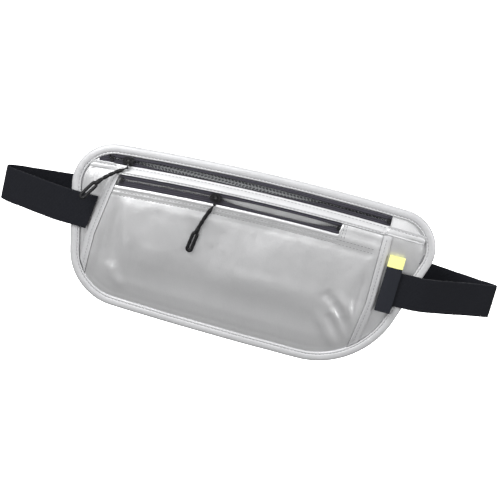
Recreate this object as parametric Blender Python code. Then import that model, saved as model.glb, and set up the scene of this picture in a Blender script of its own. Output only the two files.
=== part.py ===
"""Money belt: a flat two-pocket pouch with two zips on an elastic waist strap.

Frame: the pouch stands upright with its front towards -Y, +X to the right of someone facing that
front, and +Z up. The origin is on the flat rear face of the back panel, the side that lies against
the waist. The strap is a closed loop behind the pouch, joined by a side-release buckle.
Lengths and places below are in millimetres; the meshes are made in metres.
"""

import math

import bmesh
import bpy
from mathutils import Matrix, Vector

MM = 0.001

# Pouch outline: corners of a quadrilateral (x, z, corner radius), whose top and bottom bow outwards.
OUTLINE_CORNERS = [(-153.0, 60.5, 32.0), (158.0, 68.0, 29.0), (114.0, -69.5, 68.0), (-130.0, -64.0, 44.0)]
TOP_BOW = 6.5
BOTTOM_BOW = 3.5
BOW_HALF_LENGTH = 150.0
BOW_TOP_Z = 65.0
BOW_BOTTOM_Z = 68.0
CORNER_STEPS = 9
EDGE_STEPS = 6

# Both zips and the strip between them follow arcs about one far centre.
# A level is the height of such an arc where it crosses x = ARC_X.
ARC_X = 40.0
ARC_RADIUS = 1750.0

# Edge binding, a folded tape with a U section that grips the panels' edges.
BINDING_WIDTH = 7.5
BINDING_REAR = 0.1
BINDING_FRONT = 4.9
BINDING_WALL = 0.7
BINDING_EDGE_SOFTENING = 1.1

# Panels. Depths are measured forwards from the waist side, at a given distance from the outline.
PANEL_RIM = 1.7
BACK_PANEL_THICK = 1.7
BACK_PANEL_FLANGE = 1.1
BACK_PANEL_INSET = 8.3
PANEL_THICK = 0.6
MIDDLE_DEPTHS = [(1.7, 2.1), (8.0, 2.3), (15.0, 4.7), (24.0, 6.3), (36.0, 6.6)]
FRONT_DEPTHS = [(1.7, 3.1), (8.0, 3.4), (14.0, 7.2), (22.0, 10.4), (32.0, 11.6), (45.0, 12.3)]
SEAM_GAP = 0.4

# Front pocket hems, as (x, z) down each edge.
LEFT_HEM_INNER = [(-109.3, 46.0), (-114.0, 21.0), (-119.3, -10.0), (-121.5, -60.0)]
LEFT_HEM_OUTER = [(-116.4, 46.0), (-121.3, 21.0), (-126.5, -10.0), (-128.5, -60.0)]
RIGHT_HEM_INNER = [(103.0, 46.0), (103.5, -10.0), (98.0, -60.0)]
RIGHT_HEM_OUTER = [(110.5, 46.0), (111.0, -10.0), (105.0, -60.0)]
HEM_THICK = 0.8
HEM_TOP_LEVEL = 48.7
HEM_ROWS = 10

# Strip of fabric between the two zips, raised at its lower edge over the front pocket.
STRIP_TOP_LEVEL = 55.9
STRIP_KNEE_LEVEL = 51.0
STRIP_BOTTOM_LEVEL = 49.0
STRIP_TOP_DEPTH = 6.7
STRIP_BOTTOM_DEPTH = 11.3
STRIP_RAISED = (-121.0, -110.0, 101.0, 112.0)
STRIP_THICK = 0.6
STRIP_GAP = 0.6

# Zips: level of the middle, depth of the tape's front face, ends, opened length and levels of the edges.
REAR_ZIP = {
    "level": 59.6,
    "depth": 6.4,
    "ends": (-122.0, 105.8),
    "lower_start": -127.5,
    "open": (-101.0, 50.0),
    "slider": -105.5,
    "lowest": 54.0,
    "highest": 62.7,
    "stops": (-119.0, 104.0),
}
FRONT_ZIP = {
    "level": 44.8,
    "depth": 11.0,
    "ends": (-109.5, 68.8),
    "lower_start": -109.5,
    "open": (-27.5, 63.0),
    "slider": -32.0,
    "lowest": 37.6,
    "highest": 50.8,
    "stops": (-107.5, 67.0),
}
ZIP_GROOVE = 1.6
ZIP_OPENING_DOWN = 2.6
ZIP_OPENING_UP = 0.8
TAPE_THICK = 0.5
COIL_WIDTH = 0.7
COIL_BACK = (0.8, 1.5)
STOP_GAP = 0.3
STOP_THICK = 0.9
STOP_HALF_LENGTH = 1.1
STOP_HALF_WIDTH = 2.2
ZIP_SECTIONS = 26
TUCK_START = -118.0
TUCK_RAMP = 5.0
TUCK_BEND = -0.85
TUCK_FOLD = -0.35
TUCK_TOP = 2.7
TUCK_DEPTH = 3.95
MIDDLE_TOP_LEVEL = 55.0
MIDDLE_CUT = (-122.5, 106.5)
FRONT_TOP_LEVEL = 39.6
FRONT_TAB_LEVEL = 48.7
FRONT_TAB_START = 69.6

# Slider and pull.
SLIDER_HALF_LENGTH = 4.5
SLIDER_HALF_WIDTH = 3.5
BRIDGE_REACH = 3.9
LINK_LENGTH = 5.0
PULL_STEM_END = 29.0
PULL_END = 41.0
PULL_HALF_WIDTH = 2.1
CORD_RADIUS = 1.2
LINK_RADIUS = 1.4
LINK_HALF_WIDTH = 0.7
LINK_HALF_THICK = 0.4
LINK_TAB_RADIUS = 1.1
PLATE_GAP = 0.3
PLATE_THICK = 1.2
FRONT_PULL_SWING = 18.0
REAR_PULL_SWING = 48.0
REAR_PULL_LIFT = 20.0

# Strap and buckle.
STRAP_WIDTH = 28.0
STRAP_THICK = 1.2
STRAP_MIDDLE_Z = 6.0
BUCKLE_MIDDLE_Y = 64.55
BAR_LOOP_RADIUS = 2.3
SOCKET_BAR_X = -55.5
PLUG_BAR_X = 8.0
BUCKLE_HALF_THICK = 4.5
BUCKLE_INNER_HALF_WIDTH = 16.0
BAR_HALF_LENGTH = 1.5
BAR_HALF_THICK = 1.1
ARM_ROOT_X = -11.95
ARM_HALF_THICK = 2.4
RIGHT_STRAP_END_X = 33.5
RIGHT_STRAP_RUN_Y = 60.75
STRAP_ROOT_SETBACK = 1.4
ADJUSTER_X = 50.0
ADJUSTER_HALF_LENGTH = 10.0
ADJUSTER_HALF_WIDTH = 18.0
ADJUSTER_RAIL = 3.0
ADJUSTER_CORNER = 1.5
ADJUSTER_Y = (58.65, 64.35)
ADJUSTER_WALL = 1.2

# Side tab.
TAB_BOX = ((111.7, -10.2, -14.0), (124.7, -9.0, 33.0))

COLOURS = {
    "silver_fabric": ((0.60, 0.60, 0.61), 0.55, 0.0),
    "mesh_lining": ((0.45, 0.46, 0.48), 0.9, 0.0),
    "zip_tape": ((0.045, 0.042, 0.055), 0.8, 0.0),
    "zip_coil": ((0.02, 0.02, 0.024), 0.5, 0.0),
    "slider_metal": ((0.015, 0.015, 0.017), 0.35, 0.6),
    "pull_cord": ((0.012, 0.012, 0.014), 0.6, 0.0),
    "webbing": ((0.014, 0.015, 0.02), 0.85, 0.0),
    "buckle_plastic": ((0.012, 0.012, 0.013), 0.45, 0.0),
    "tab_fabric": ((0.03, 0.035, 0.05), 0.8, 0.0),
}


def clear_scene():
    for item in list(bpy.data.objects):
        bpy.data.objects.remove(item, do_unlink=True)


def make_material(name):
    colour, roughness, metallic = COLOURS[name]
    material = bpy.data.materials.new(name)
    material.use_nodes = True
    shader = material.node_tree.nodes["Principled BSDF"]
    shader.inputs["Base Color"].default_value = (*colour, 1.0)
    shader.inputs["Roughness"].default_value = roughness
    shader.inputs["Metallic"].default_value = metallic
    return material


def add_object(name, mesh, material, origin=(0.0, 0.0, 0.0)):
    """An object from a bmesh in world millimetres, with its own origin."""
    bmesh.ops.recalc_face_normals(mesh, faces=mesh.faces)
    bmesh.ops.translate(mesh, verts=mesh.verts, vec=-Vector(origin))
    bmesh.ops.scale(mesh, verts=mesh.verts, vec=(MM, MM, MM))
    data = bpy.data.meshes.new(name)
    mesh.to_mesh(data)
    mesh.free()
    data.shade_smooth()
    data.set_sharp_from_angle(angle=math.radians(35))
    data.materials.append(material)
    item = bpy.data.objects.new(name, data)
    bpy.context.scene.collection.objects.link(item)
    item.location = Vector(origin) * MM
    return item


def loft_mesh(sections, ring=False):
    """A closed skin through sections with equal numbers of points; ring joins the last to the first."""
    mesh = bmesh.new()
    rows = [[mesh.verts.new(point) for point in section] for section in sections]
    pairs = list(zip(rows, rows[1:]))
    if ring:
        pairs.append((rows[-1], rows[0]))
    for first, second in pairs:
        for i in range(len(first)):
            j = (i + 1) % len(first)
            mesh.faces.new((first[i], first[j], second[j], second[i]))
    if not ring:
        mesh.faces.new(rows[0])
        mesh.faces.new(rows[-1])
    return mesh


def block_mesh(low, high):
    corners = [(low[0], low[1]), (high[0], low[1]), (high[0], high[1]), (low[0], high[1])]
    return loft_mesh([[(x, y, z) for x, y in corners] for z in (low[2], high[2])])


def prism_mesh(outline, near, far):
    """An outline of (x, z) points extruded along Y."""
    return loft_mesh([[(x, y, z) for x, z in outline] for y in (near, far)])


def shape_with(target, tool_mesh, operation, name, frame=None):
    """Add to or cut from the target with a Boolean whose tool stays hidden."""
    if frame is not None:
        bmesh.ops.transform(tool_mesh, matrix=frame, verts=tool_mesh.verts)
    tool = add_object(name, tool_mesh, target.data.materials[0])
    tool.hide_render = True
    tool.display_type = "WIRE"
    step = target.modifiers.new(name, "BOOLEAN")
    step.operation = operation
    step.solver = "EXACT"
    step.object = tool


# ---------------------------------------------------------------- outline and depth rules


def lerp(a, b, t):
    return a + (b - a) * t


def read_curve(points, x):
    """Straight-line interpolation in a list of (x, value) with x rising."""
    for (x0, v0), (x1, v1) in zip(points, points[1:]):
        if x <= x1:
            return lerp(v0, v1, max(0.0, (x - x0) / (x1 - x0)))
    return points[-1][1]


def edge_x(edge, z):
    """x on an edge given as (x, z) points from top to bottom."""
    return read_curve([(-pz, px) for px, pz in edge], -z)


def corner_arc(before, corner, after, radius):
    """Points of the arc that rounds a corner."""
    here = Vector(corner)
    to_before = (Vector(before) - here).normalized()
    to_after = (Vector(after) - here).normalized()
    half = to_before.angle(to_after) / 2
    centre = here + (to_before + to_after).normalized() * (radius / math.sin(half))
    start = here + to_before * (radius / math.tan(half)) - centre
    end = here + to_after * (radius / math.tan(half)) - centre
    sweep = start.angle_signed(end)
    points = []
    for i in range(CORNER_STEPS + 1):
        turn = -sweep * i / CORNER_STEPS
        x = start.x * math.cos(turn) - start.y * math.sin(turn)
        z = start.x * math.sin(turn) + start.y * math.cos(turn)
        points.append(centre + Vector((x, z)))
    return points


def pouch_outline():
    """The pouch's outline as (x, z) points, clockwise from the upper left corner."""
    count = len(OUTLINE_CORNERS)
    arcs = []
    for i, (x, z, radius) in enumerate(OUTLINE_CORNERS):
        before = OUTLINE_CORNERS[i - 1][:2]
        after = OUTLINE_CORNERS[(i + 1) % count][:2]
        arcs.append(corner_arc(before, (x, z), after, radius))
    points = []
    for i, arc in enumerate(arcs):
        points += arc
        following = arcs[(i + 1) % count][0]
        for k in range(1, EDGE_STEPS):
            points.append(arc[-1].lerp(following, k / EDGE_STEPS))
    bowed = []
    for x, z in points:
        swell = 1.0 - (x / BOW_HALF_LENGTH) ** 2
        up = TOP_BOW * swell * max(z, 0.0) / BOW_TOP_Z
        down = BOTTOM_BOW * swell * max(-z, 0.0) / BOW_BOTTOM_Z
        bowed.append(Vector((x, z + up - down)))
    return bowed


OUTLINE = pouch_outline()


def inward_normals(points):
    """Unit normals of a clockwise outline, pointing inwards."""
    normals = []
    for i in range(len(points)):
        along = (points[(i + 1) % len(points)] - points[i - 1]).normalized()
        normals.append(Vector((along.y, -along.x)))
    return normals


NORMALS = inward_normals(OUTLINE)


def inset(distance):
    return [p + n * distance for p, n in zip(OUTLINE, NORMALS)]


def edge_distance(x, z):
    """Distance from a point inside the pouch to its outline; negative outside."""
    point = Vector((x, z))
    nearest = math.inf
    inside = False
    for a, b in zip(OUTLINE, OUTLINE[1:] + OUTLINE[:1]):
        side = b - a
        share = max(0.0, min(1.0, (point - a).dot(side) / side.length_squared))
        nearest = min(nearest, (point - a - side * share).length)
        if (a.y > z) != (b.y > z) and x < a.x + (z - a.y) / (b.y - a.y) * side.x:
            inside = not inside
    return nearest if inside else -nearest


def limit_along(place, inner, outer, distance):
    """The parameter between inner and outer where place(parameter) is this far inside the outline."""
    for _ in range(24):
        middle = (inner + outer) / 2
        if edge_distance(*place(middle)) > distance:
            inner = middle
        else:
            outer = middle
    return inner


def middle_rear(x, z):
    return -read_curve(MIDDLE_DEPTHS, edge_distance(x, z))


def middle_front(x, z):
    return middle_rear(x, z) - PANEL_THICK


def front_rear(x, z):
    return -read_curve(FRONT_DEPTHS, edge_distance(x, z))


def arc_point(x, level):
    """A point on the arc at this level, at a distance x - ARC_X along it from its top."""
    radius = ARC_RADIUS + level
    angle = (x - ARC_X) / radius
    return ARC_X + radius * math.sin(angle), radius * math.cos(angle) - ARC_RADIUS


def level_z(x, level):
    radius = ARC_RADIUS + level
    return math.sqrt(radius**2 - (x - ARC_X) ** 2) - ARC_RADIUS


# ---------------------------------------------------------------- pouch


def make_back_panel(material):
    rings = [(BACK_PANEL_INSET, 0.0), (BACK_PANEL_INSET, -BACK_PANEL_FLANGE)]
    rings += [(PANEL_RIM, -BACK_PANEL_FLANGE), (PANEL_RIM, -BACK_PANEL_THICK)]
    sections = [[(p.x, y, p.y) for p in inset(distance)] for distance, y in rings]
    add_object("back_panel", loft_mesh(sections), material)


def make_edge_binding(material):
    inner, soft = BINDING_WIDTH, BINDING_EDGE_SOFTENING
    rear, front, wall = -BINDING_REAR, -BINDING_FRONT, BINDING_WALL
    middle = (rear + front) / 2
    profile = [(inner, rear), (soft, rear), (0.2, rear - soft), (0.0, middle), (0.2, front + soft)]
    profile += [(soft, front), (inner, front), (inner, front + wall), (soft + 0.2, front + wall)]
    profile += [(soft + 0.2, rear - wall), (inner, rear - wall)]
    sections = []
    for p, n in zip(OUTLINE, NORMALS):
        sections.append([(p.x + n.x * d, y, p.y + n.y * d) for d, y in profile])
    add_object("edge_binding", loft_mesh(sections, ring=True), material)


def panel_column(points, rear_rule):
    """One column of a panel: rear points up it, then front points back down."""
    rear = [(x, rear_rule(x, z), z) for x, z in points]
    front = [(x, y - PANEL_THICK, z) for x, y, z in reversed(rear)]
    return rear + front


def rim_rows(place, bottom, top, rows):
    """Heights up a column, each at its distance from the outline or, near the ends, at its share."""
    heights = []
    for distance, share in rows:
        heights.append(limit_along(place, lerp(bottom, top, share), bottom - 1.0, distance))
    return heights


def make_middle_panel(material):
    cut_left, cut_right = MIDDLE_CUT
    left_tip, right_tip = min(OUTLINE, key=lambda p: p.x), max(OUTLINE, key=lambda p: p.x)
    first, last = left_tip.x + 2.2, right_tip.x - 2.2
    stations = [first, first + 2.0, first + 4.5, first + 8.5, first + 13.0, first + 17.0]
    stations += [cut_left - 0.2, cut_left + 0.2, -115.0, -105.0, -92.0, -76.0, -56.0, -34.0, -10.0, 14.0]
    stations += [36.0, 56.0, 72.0, 86.0, 97.0, cut_right - 0.2, cut_right + 0.2, 112.0, 118.0, 123.0]
    stations += [last - 17.0, last - 13.0, last - 8.5, last - 4.5, last - 2.0, last]
    rows = [(PANEL_RIM, 0.0), (BINDING_WIDTH, 0.08), (15.0, 0.2), (24.0, 0.36)]
    sections = []
    for x in stations:

        def place(z):
            return x, z

        tip = left_tip.y if x < 0.0 else right_tip.y
        middle = lerp(0.0, tip, max(0.0, abs(x) / 30.0 - 3.7))
        bottom = limit_along(place, middle, -80.0, PANEL_RIM)
        top = limit_along(place, middle, 80.0, PANEL_RIM)
        heights = rim_rows(place, bottom, top, rows)
        if cut_left < x < cut_right:
            top = level_z(x, MIDDLE_TOP_LEVEL)
            heights += [lerp(heights[-1], top, t) for t in (0.35, 0.6, 0.8, 1.0)]
        else:
            flipped = [(distance, 1.0 - share) for distance, share in rows]
            upper = [limit_along(place, lerp(bottom, top, share), top + 1.0, d) for d, share in flipped]
            heights += reversed(upper)
        sections.append(panel_column([(x, z) for z in heights], middle_rear))
    add_object("middle_panel", loft_mesh(sections), material)


def make_front_panel(material):
    """Column by column from the left hem to the right hem; the tab right of the zip is taller."""
    rows = [(PANEL_RIM, 0.0), (8.0, 0.1), (14.0, 0.2), (22.0, 0.32), (32.0, 0.5)]

    def side_to_side(share, z):
        left = edge_x(LEFT_HEM_INNER, z) + SEAM_GAP
        return lerp(left, edge_x(RIGHT_HEM_INNER, z) - SEAM_GAP, share)

    left_top, right_top = side_to_side(0.0, 40.0), side_to_side(1.0, 40.0)
    step = (FRONT_TAB_START - left_top) / (right_top - left_top)
    shares = [0.0, 0.02, 0.05, 0.1, 0.17, 0.26, 0.36, 0.47, 0.58, 0.69, 0.78]
    columns = [(share, FRONT_TOP_LEVEL) for share in shares]
    columns += [(step - 0.003, FRONT_TOP_LEVEL), (step, FRONT_TAB_LEVEL)]
    columns += [(share, FRONT_TAB_LEVEL) for share in (0.89, 0.94, 0.975, 1.0)]
    sections = []
    for share, level in columns:

        def place(z):
            return side_to_side(share, z), z

        bottom = limit_along(place, 0.0, -80.0, PANEL_RIM)
        top = level_z(side_to_side(share, level - 5.0), level)
        heights = rim_rows(place, bottom, top, rows) + [lerp(bottom, top, 0.75), top]
        sections.append(panel_column([place(z) for z in heights], front_rear))
    add_object("front_panel", loft_mesh(sections), material)


def make_hem(name, inner_edge, outer_edge, material):
    """A folded strip that slopes from the middle panel up to the front panel's side edge."""
    ends = []
    for edge in (outer_edge, inner_edge):
        bottom = limit_along(lambda z: (edge_x(edge, z), z), 0.0, -80.0, BINDING_WIDTH + SEAM_GAP)
        top = level_z(edge_x(edge, 40.0), HEM_TOP_LEVEL)
        ends.append((edge, top, bottom))
    sections = []
    for i in range(HEM_ROWS + 1):
        points = []
        for rule, (edge, top, bottom) in zip((middle_front, front_rear), ends):
            z = lerp(top, bottom, i / HEM_ROWS)
            x = edge_x(edge, z)
            lift = SEAM_GAP if rule is middle_front else 0.0
            points.append(Vector((x, min(rule(x, z), middle_front(x, z) - SEAM_GAP) - lift, z)))
        outer, inner = points
        front_inner = (inner.x, inner.y - HEM_THICK, inner.z)
        sections.append([outer, inner, front_inner, (outer.x, outer.y - HEM_THICK, outer.z)])
    add_object(name, loft_mesh(sections), material)


def strip_depth(x):
    rise_start, rise_end, fall_start, fall_end = STRIP_RAISED
    ramp = min((x - rise_start) / (rise_end - rise_start), (fall_end - x) / (fall_end - fall_start))
    return STRIP_BOTTOM_DEPTH * max(0.0, min(1.0, ramp))


def make_zip_strip(material):
    """The strip between the zips: three levels of rear points, then the front points back."""
    stations = [-134.5, -131.0, -127.5, -124.0, -121.0, -117.0, -113.5, -110.0, -95.0, -75.0, -50.0]
    stations += [-25.0, 0.0, 25.0, 50.0, 75.0, 90.0, 101.0, 105.0, 109.0, 112.5, 118.0, 124.0, 130.0, 136.0]
    rows = [(STRIP_BOTTOM_LEVEL, 0.0), (STRIP_KNEE_LEVEL, STRIP_TOP_DEPTH - 0.2)]
    rows.append((STRIP_TOP_LEVEL, STRIP_TOP_DEPTH))
    sections = []
    for x in stations:
        roof = limit_along(lambda z: (x, z), 30.0, 80.0, BINDING_WIDTH + SEAM_GAP)
        rear = []
        for level, least in rows:
            z = min(level_z(x, level), roof - 0.2 * (STRIP_TOP_LEVEL - level))
            raised = least if level == STRIP_TOP_LEVEL else max(least, strip_depth(x))
            rear.append((x, -max(STRIP_GAP - middle_front(x, z), raised), z))
        front = [(px, y - STRIP_THICK, z) for px, y, z in reversed(rear)]
        sections.append(rear + front)
    add_object("zip_strip", loft_mesh(sections), material)


# ---------------------------------------------------------------- zips


def opening_share(zipper, x):
    """How far the zip's lips are apart at x, from 0 to 1."""
    start, end = zipper["open"]
    place = (2.0 * x - start - end) / (end - start)
    return max(0.0, 1.0 - place**4)


def lip_level(zipper, x, side):
    """Level of the free edge of the upper (side 1) or lower (side -1) tape."""
    spread = ZIP_OPENING_UP if side > 0 else ZIP_OPENING_DOWN
    return zipper["level"] + side * (ZIP_GROOVE / 2 + spread * opening_share(zipper, x))


def zip_stations(zipper, trim):
    start, end = zipper["ends"]
    return [lerp(start + trim, end - trim, i / ZIP_SECTIONS) for i in range(ZIP_SECTIONS + 1)]


def arc_section(x, corners):
    """A section at x from (level, y) corners."""
    section = []
    for level, y in corners:
        px, pz = arc_point(x, level)
        section.append((px, y, pz))
    return section


def binding_level(x):
    """Level of the binding's inner edge above x."""
    return limit_along(lambda level: arc_point(x, level), 40.0, 90.0, BINDING_WIDTH)


def make_lower_tape(prefix, zipper, material):
    front = -zipper["depth"]
    rear = front + TAPE_THICK
    lowest = zipper["lowest"]
    stations = zip_stations(zipper, 0.0)
    if zipper["lower_start"] < stations[0]:
        stations.insert(0, zipper["lower_start"])
    sections = []
    for x in stations:
        lip = min(lip_level(zipper, x, -1), binding_level(x) - SEAM_GAP)
        sections.append(arc_section(x, [(lowest, front), (lip, front), (lip, rear), (lowest, rear)]))
    add_object(prefix + "_zip_lower_tape", loft_mesh(sections), material)


def make_upper_tape(prefix, zipper, material, tucked):
    """The rear zip's upper tape bends back along its top edge and is tucked into the binding."""
    front = -zipper["depth"]
    rear = front + TAPE_THICK
    stations = zip_stations(zipper, 0.0)
    if tucked:
        ramp_end = TUCK_START + TUCK_RAMP
        stations = sorted(stations + [TUCK_START, ramp_end, ramp_end + 0.3])
    sections = []
    for x in stations:
        lip, highest = lip_level(zipper, x, 1), zipper["highest"]
        if not tucked:
            sections.append(arc_section(x, [(lip, front), (highest, front), (highest, rear), (lip, rear)]))
            continue
        share = max(0.0, min(1.0, (x - TUCK_START) / TUCK_RAMP))
        roof = binding_level(x)
        bend, fold = roof + TUCK_BEND, roof + TUCK_FOLD
        top = roof + TUCK_TOP if x > ramp_end else fold + 0.1
        back = lerp(front, -TUCK_DEPTH, share)
        thin = 0.3 * share
        corners = [(lip, front), (bend, front), (fold, back), (top, back), (top, back + TAPE_THICK)]
        corners += [(fold - thin, back + TAPE_THICK), (bend - thin, rear), (lip, rear)]
        sections.append(arc_section(x, corners))
    add_object(prefix + "_zip_upper_tape", loft_mesh(sections), material)


def make_coils(prefix, zipper, material):
    near, far = (COIL_BACK[0] - zipper["depth"], COIL_BACK[1] - zipper["depth"])
    for side, word in ((-1, "lower"), (1, "upper")):
        sections = []
        for x in zip_stations(zipper, 1.0):
            lip = lip_level(zipper, x, side)
            root = lip + side * COIL_WIDTH
            sections.append(arc_section(x, [(lip, near), (root, near), (root, far), (lip, far)]))
        add_object(f"{prefix}_zip_{word}_coil", loft_mesh(sections), material)


def make_stops(prefix, zipper, material):
    """A small clamped stop in front of the tapes at each end of the zip."""
    far = -zipper["depth"] - STOP_GAP
    near = far - STOP_THICK
    low, high = zipper["level"] - STOP_HALF_WIDTH, zipper["level"] + STOP_HALF_WIDTH
    for word, x in zip(("left", "right"), zipper["stops"]):
        corners = [(low, near), (high, near), (high, far), (low, far)]
        sections = [arc_section(x + along, corners) for along in (-STOP_HALF_LENGTH, STOP_HALF_LENGTH)]
        add_object(f"{prefix}_zip_{word}_stop", loft_mesh(sections), material)


def slider_frame(zipper):
    """Matrix from slider coordinates (along, out of the rear, up) to world millimetres."""
    x, z = arc_point(zipper["slider"], zipper["level"])
    angle = (zipper["slider"] - ARC_X) / (ARC_RADIUS + zipper["level"])
    return Matrix.Translation((x, -zipper["depth"], z)) @ Matrix.Rotation(angle, 4, "Y")


def circle_arc(radius, count, full_count):
    """The first points of a circle of (x, z) points about the origin."""
    turns = [2.0 * math.pi * i / full_count for i in range(count)]
    return [(radius * math.cos(turn), radius * math.sin(turn)) for turn in turns]


def framed(mesh, frame):
    bmesh.ops.transform(mesh, matrix=frame, verts=mesh.verts)
    return mesh


def make_slider(prefix, zipper, material):
    """Front plate, divider post in the groove, rear plate behind the coils, and the pull's bridge."""
    frame = slider_frame(zipper)
    length, width = SLIDER_HALF_LENGTH, SLIDER_HALF_WIDTH
    outline = [(-length, -2.2), (-length + 1.4, -width + 0.6), (0.5, -width), (length - 1.6, -width + 0.2)]
    outline += [(length, -1.6), (length, 1.6), (length - 1.6, width - 0.2), (0.5, width)]
    outline += [(-length + 1.4, width - 0.6), (-length, 2.2)]
    plate = framed(prism_mesh(outline, -PLATE_GAP - PLATE_THICK, -PLATE_GAP), frame)
    slider = add_object(prefix + "_slider", plate, material, frame.translation)
    reach = BRIDGE_REACH
    added = {
        "post": ((-1.4, -1.0, -0.5), (1.4, 2.0, 0.5)),
        "rear_plate": ((-4.0, 1.75, -2.2), (4.0, 2.4, 2.2)),
        "bridge_foot_a": ((-3.6, -reach + 0.1, -0.8), (-2.4, -1.2, 0.8)),
        "bridge_foot_b": ((2.4, -reach + 0.1, -0.8), (3.6, -1.2, 0.8)),
        "bridge_bar": ((-3.5, -reach - 0.45, -0.5), (3.5, -reach + 0.45, 0.5)),
    }
    for part, (low, high) in added.items():
        shape_with(slider, block_mesh(low, high), "UNION", f"{prefix}_{part}", frame)


def link_frame(zipper, lift):
    """Matrix of the pull's link: its origin is on the bridge bar and -Z runs down the link."""
    tilt = Matrix.Rotation(math.radians(-lift), 4, "X")
    return slider_frame(zipper) @ Matrix.Translation((0.0, -BRIDGE_REACH, 0.0)) @ tilt


def make_link(prefix, zipper, lift, material):
    """A loop round the bridge bar that ends in the flat tab on which the pull swings."""
    frame = link_frame(zipper, lift)
    half, thick = LINK_HALF_WIDTH, LINK_HALF_THICK
    sections = []
    for i in range(12):
        turn = 2.0 * math.pi * i / 12
        ring = []
        for along, out in ((-half, -thick), (half, -thick), (half, thick), (-half, thick)):
            radius = LINK_RADIUS + out
            ring.append((along, radius * math.cos(turn), radius * math.sin(turn)))
        sections.append(ring)
    mesh = framed(loft_mesh(sections, ring=True), frame)
    link = add_object(prefix + "_pull_link", mesh, material, frame.translation)
    neck = block_mesh((-0.6, -0.4, -LINK_LENGTH), (0.6, 0.4, -1.35))
    shape_with(link, neck, "UNION", prefix + "_link_neck", frame)
    disc = [(x, z - LINK_LENGTH) for x, z in circle_arc(LINK_TAB_RADIUS, 12, 12)]
    shape_with(link, prism_mesh(disc, -0.38, 0.38), "UNION", prefix + "_link_tab", frame)


def make_pull(prefix, zipper, lift, swing, material):
    """A cord stem with a fork at its head and a long open grip loop at its end."""
    frame = link_frame(zipper, lift) @ Matrix.Translation((0.0, 0.0, -LINK_LENGTH))
    frame = frame @ Matrix.Rotation(math.radians(swing), 4, "Y")
    radius = CORD_RADIUS
    path = []
    top, bottom = -PULL_STEM_END, -PULL_END
    for i in range(9):
        turn = math.pi * i / 8
        path.append((PULL_HALF_WIDTH * math.cos(turn), top + PULL_HALF_WIDTH * math.sin(turn)))
    for i in range(9):
        turn = math.pi * (1.0 + i / 8)
        path.append((PULL_HALF_WIDTH * math.cos(turn), bottom + PULL_HALF_WIDTH * math.sin(turn)))
    sections = []
    for i, (x, z) in enumerate(path):
        centre = Vector((0.0, max(bottom, min(top, z))))
        outwards = (Vector((x, z)) - centre).normalized()
        ring = []
        for k in range(6):
            turn = math.pi * k / 3
            reach = radius * 0.75 * math.cos(turn)
            ring.append((x + outwards.x * reach, radius * math.sin(turn), z + outwards.y * reach))
        sections.append(ring)
    grip = framed(loft_mesh(sections, ring=True), frame)
    pull = add_object(prefix + "_pull", grip, material, frame.translation)
    stem = []
    for z in (-3.0, top + PULL_HALF_WIDTH + 0.2):
        stem.append([(x, y, z) for x, y in circle_arc(radius, 8, 8)])
    shape_with(pull, loft_mesh(stem), "UNION", prefix + "_pull_stem", frame)
    yoke = block_mesh((-1.0, -1.35, -3.4), (1.0, 1.35, -1.7))
    shape_with(pull, yoke, "UNION", prefix + "_pull_yoke", frame)
    ear = circle_arc(1.3, 7, 12) + [(-1.1, -2.6), (1.1, -2.6)]
    for word, near, far in (("front", -1.3, -0.7), ("rear", 0.7, 1.3)):
        shape_with(pull, prism_mesh(ear, near, far), "UNION", f"{prefix}_pull_ear_{word}", frame)


def make_zip(prefix, zipper, lift, swing, materials):
    make_lower_tape(prefix, zipper, materials["zip_tape"])
    make_upper_tape(prefix, zipper, materials["zip_tape"], prefix == "rear")
    make_coils(prefix, zipper, materials["zip_coil"])
    make_stops(prefix, zipper, materials["slider_metal"])
    make_slider(prefix, zipper, materials["slider_metal"])
    make_link(prefix, zipper, lift, materials["slider_metal"])
    make_pull(prefix, zipper, lift, swing, materials["pull_cord"])


# ---------------------------------------------------------------- strap and buckle


def smooth_path(points, steps):
    """Catmull-Rom curve through hand-placed points."""
    path = []
    padded = [points[0]] + points + [points[-1]]
    for i in range(1, len(padded) - 2):
        p0, p1, p2, p3 = (Vector(p) for p in padded[i - 1 : i + 3])
        for k in range(steps):
            t = k / steps
            a = 2.0 * p1 + (p2 - p0) * t
            b = (2.0 * p0 - 5.0 * p1 + 4.0 * p2 - p3) * t**2
            c = (3.0 * p1 - p0 - 3.0 * p2 + p3) * t**3
            path.append((a + b + c) / 2.0)
    path.append(Vector(points[-1]))
    return path


def bar_loop(bar_x, side):
    """Half turn of webbing round a buckle bar, from its pouch side to its far side."""
    turn_x = bar_x + side * 0.9
    points = []
    for i in range(7):
        turn = math.pi * (i / 6 - 0.5)
        x = turn_x + side * BAR_LOOP_RADIUS * math.cos(turn)
        points.append((x, BUCKLE_MIDDLE_Y + BAR_LOOP_RADIUS * math.sin(turn)))
    return points


def webbing_mesh(path, root_edge=None):
    """A flat band on edge along a path of (x, y); root_edge gives its first x at a height z."""
    low, high = STRAP_MIDDLE_Z - STRAP_WIDTH / 2, STRAP_MIDDLE_Z + STRAP_WIDTH / 2
    sections = []
    for i, point in enumerate(path):
        along = (path[min(i + 1, len(path) - 1)] - path[max(i - 1, 0)]).normalized()
        across = Vector((-along.y, along.x)) * STRAP_THICK / 2
        section = []
        for z, side in ((low, -1), (high, -1), (high, 1), (low, 1)):
            x = point.x if i or root_edge is None else root_edge(z)
            section.append((x + side * across.x, point.y + side * across.y, z))
        sections.append(section)
    return loft_mesh(sections)


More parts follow.
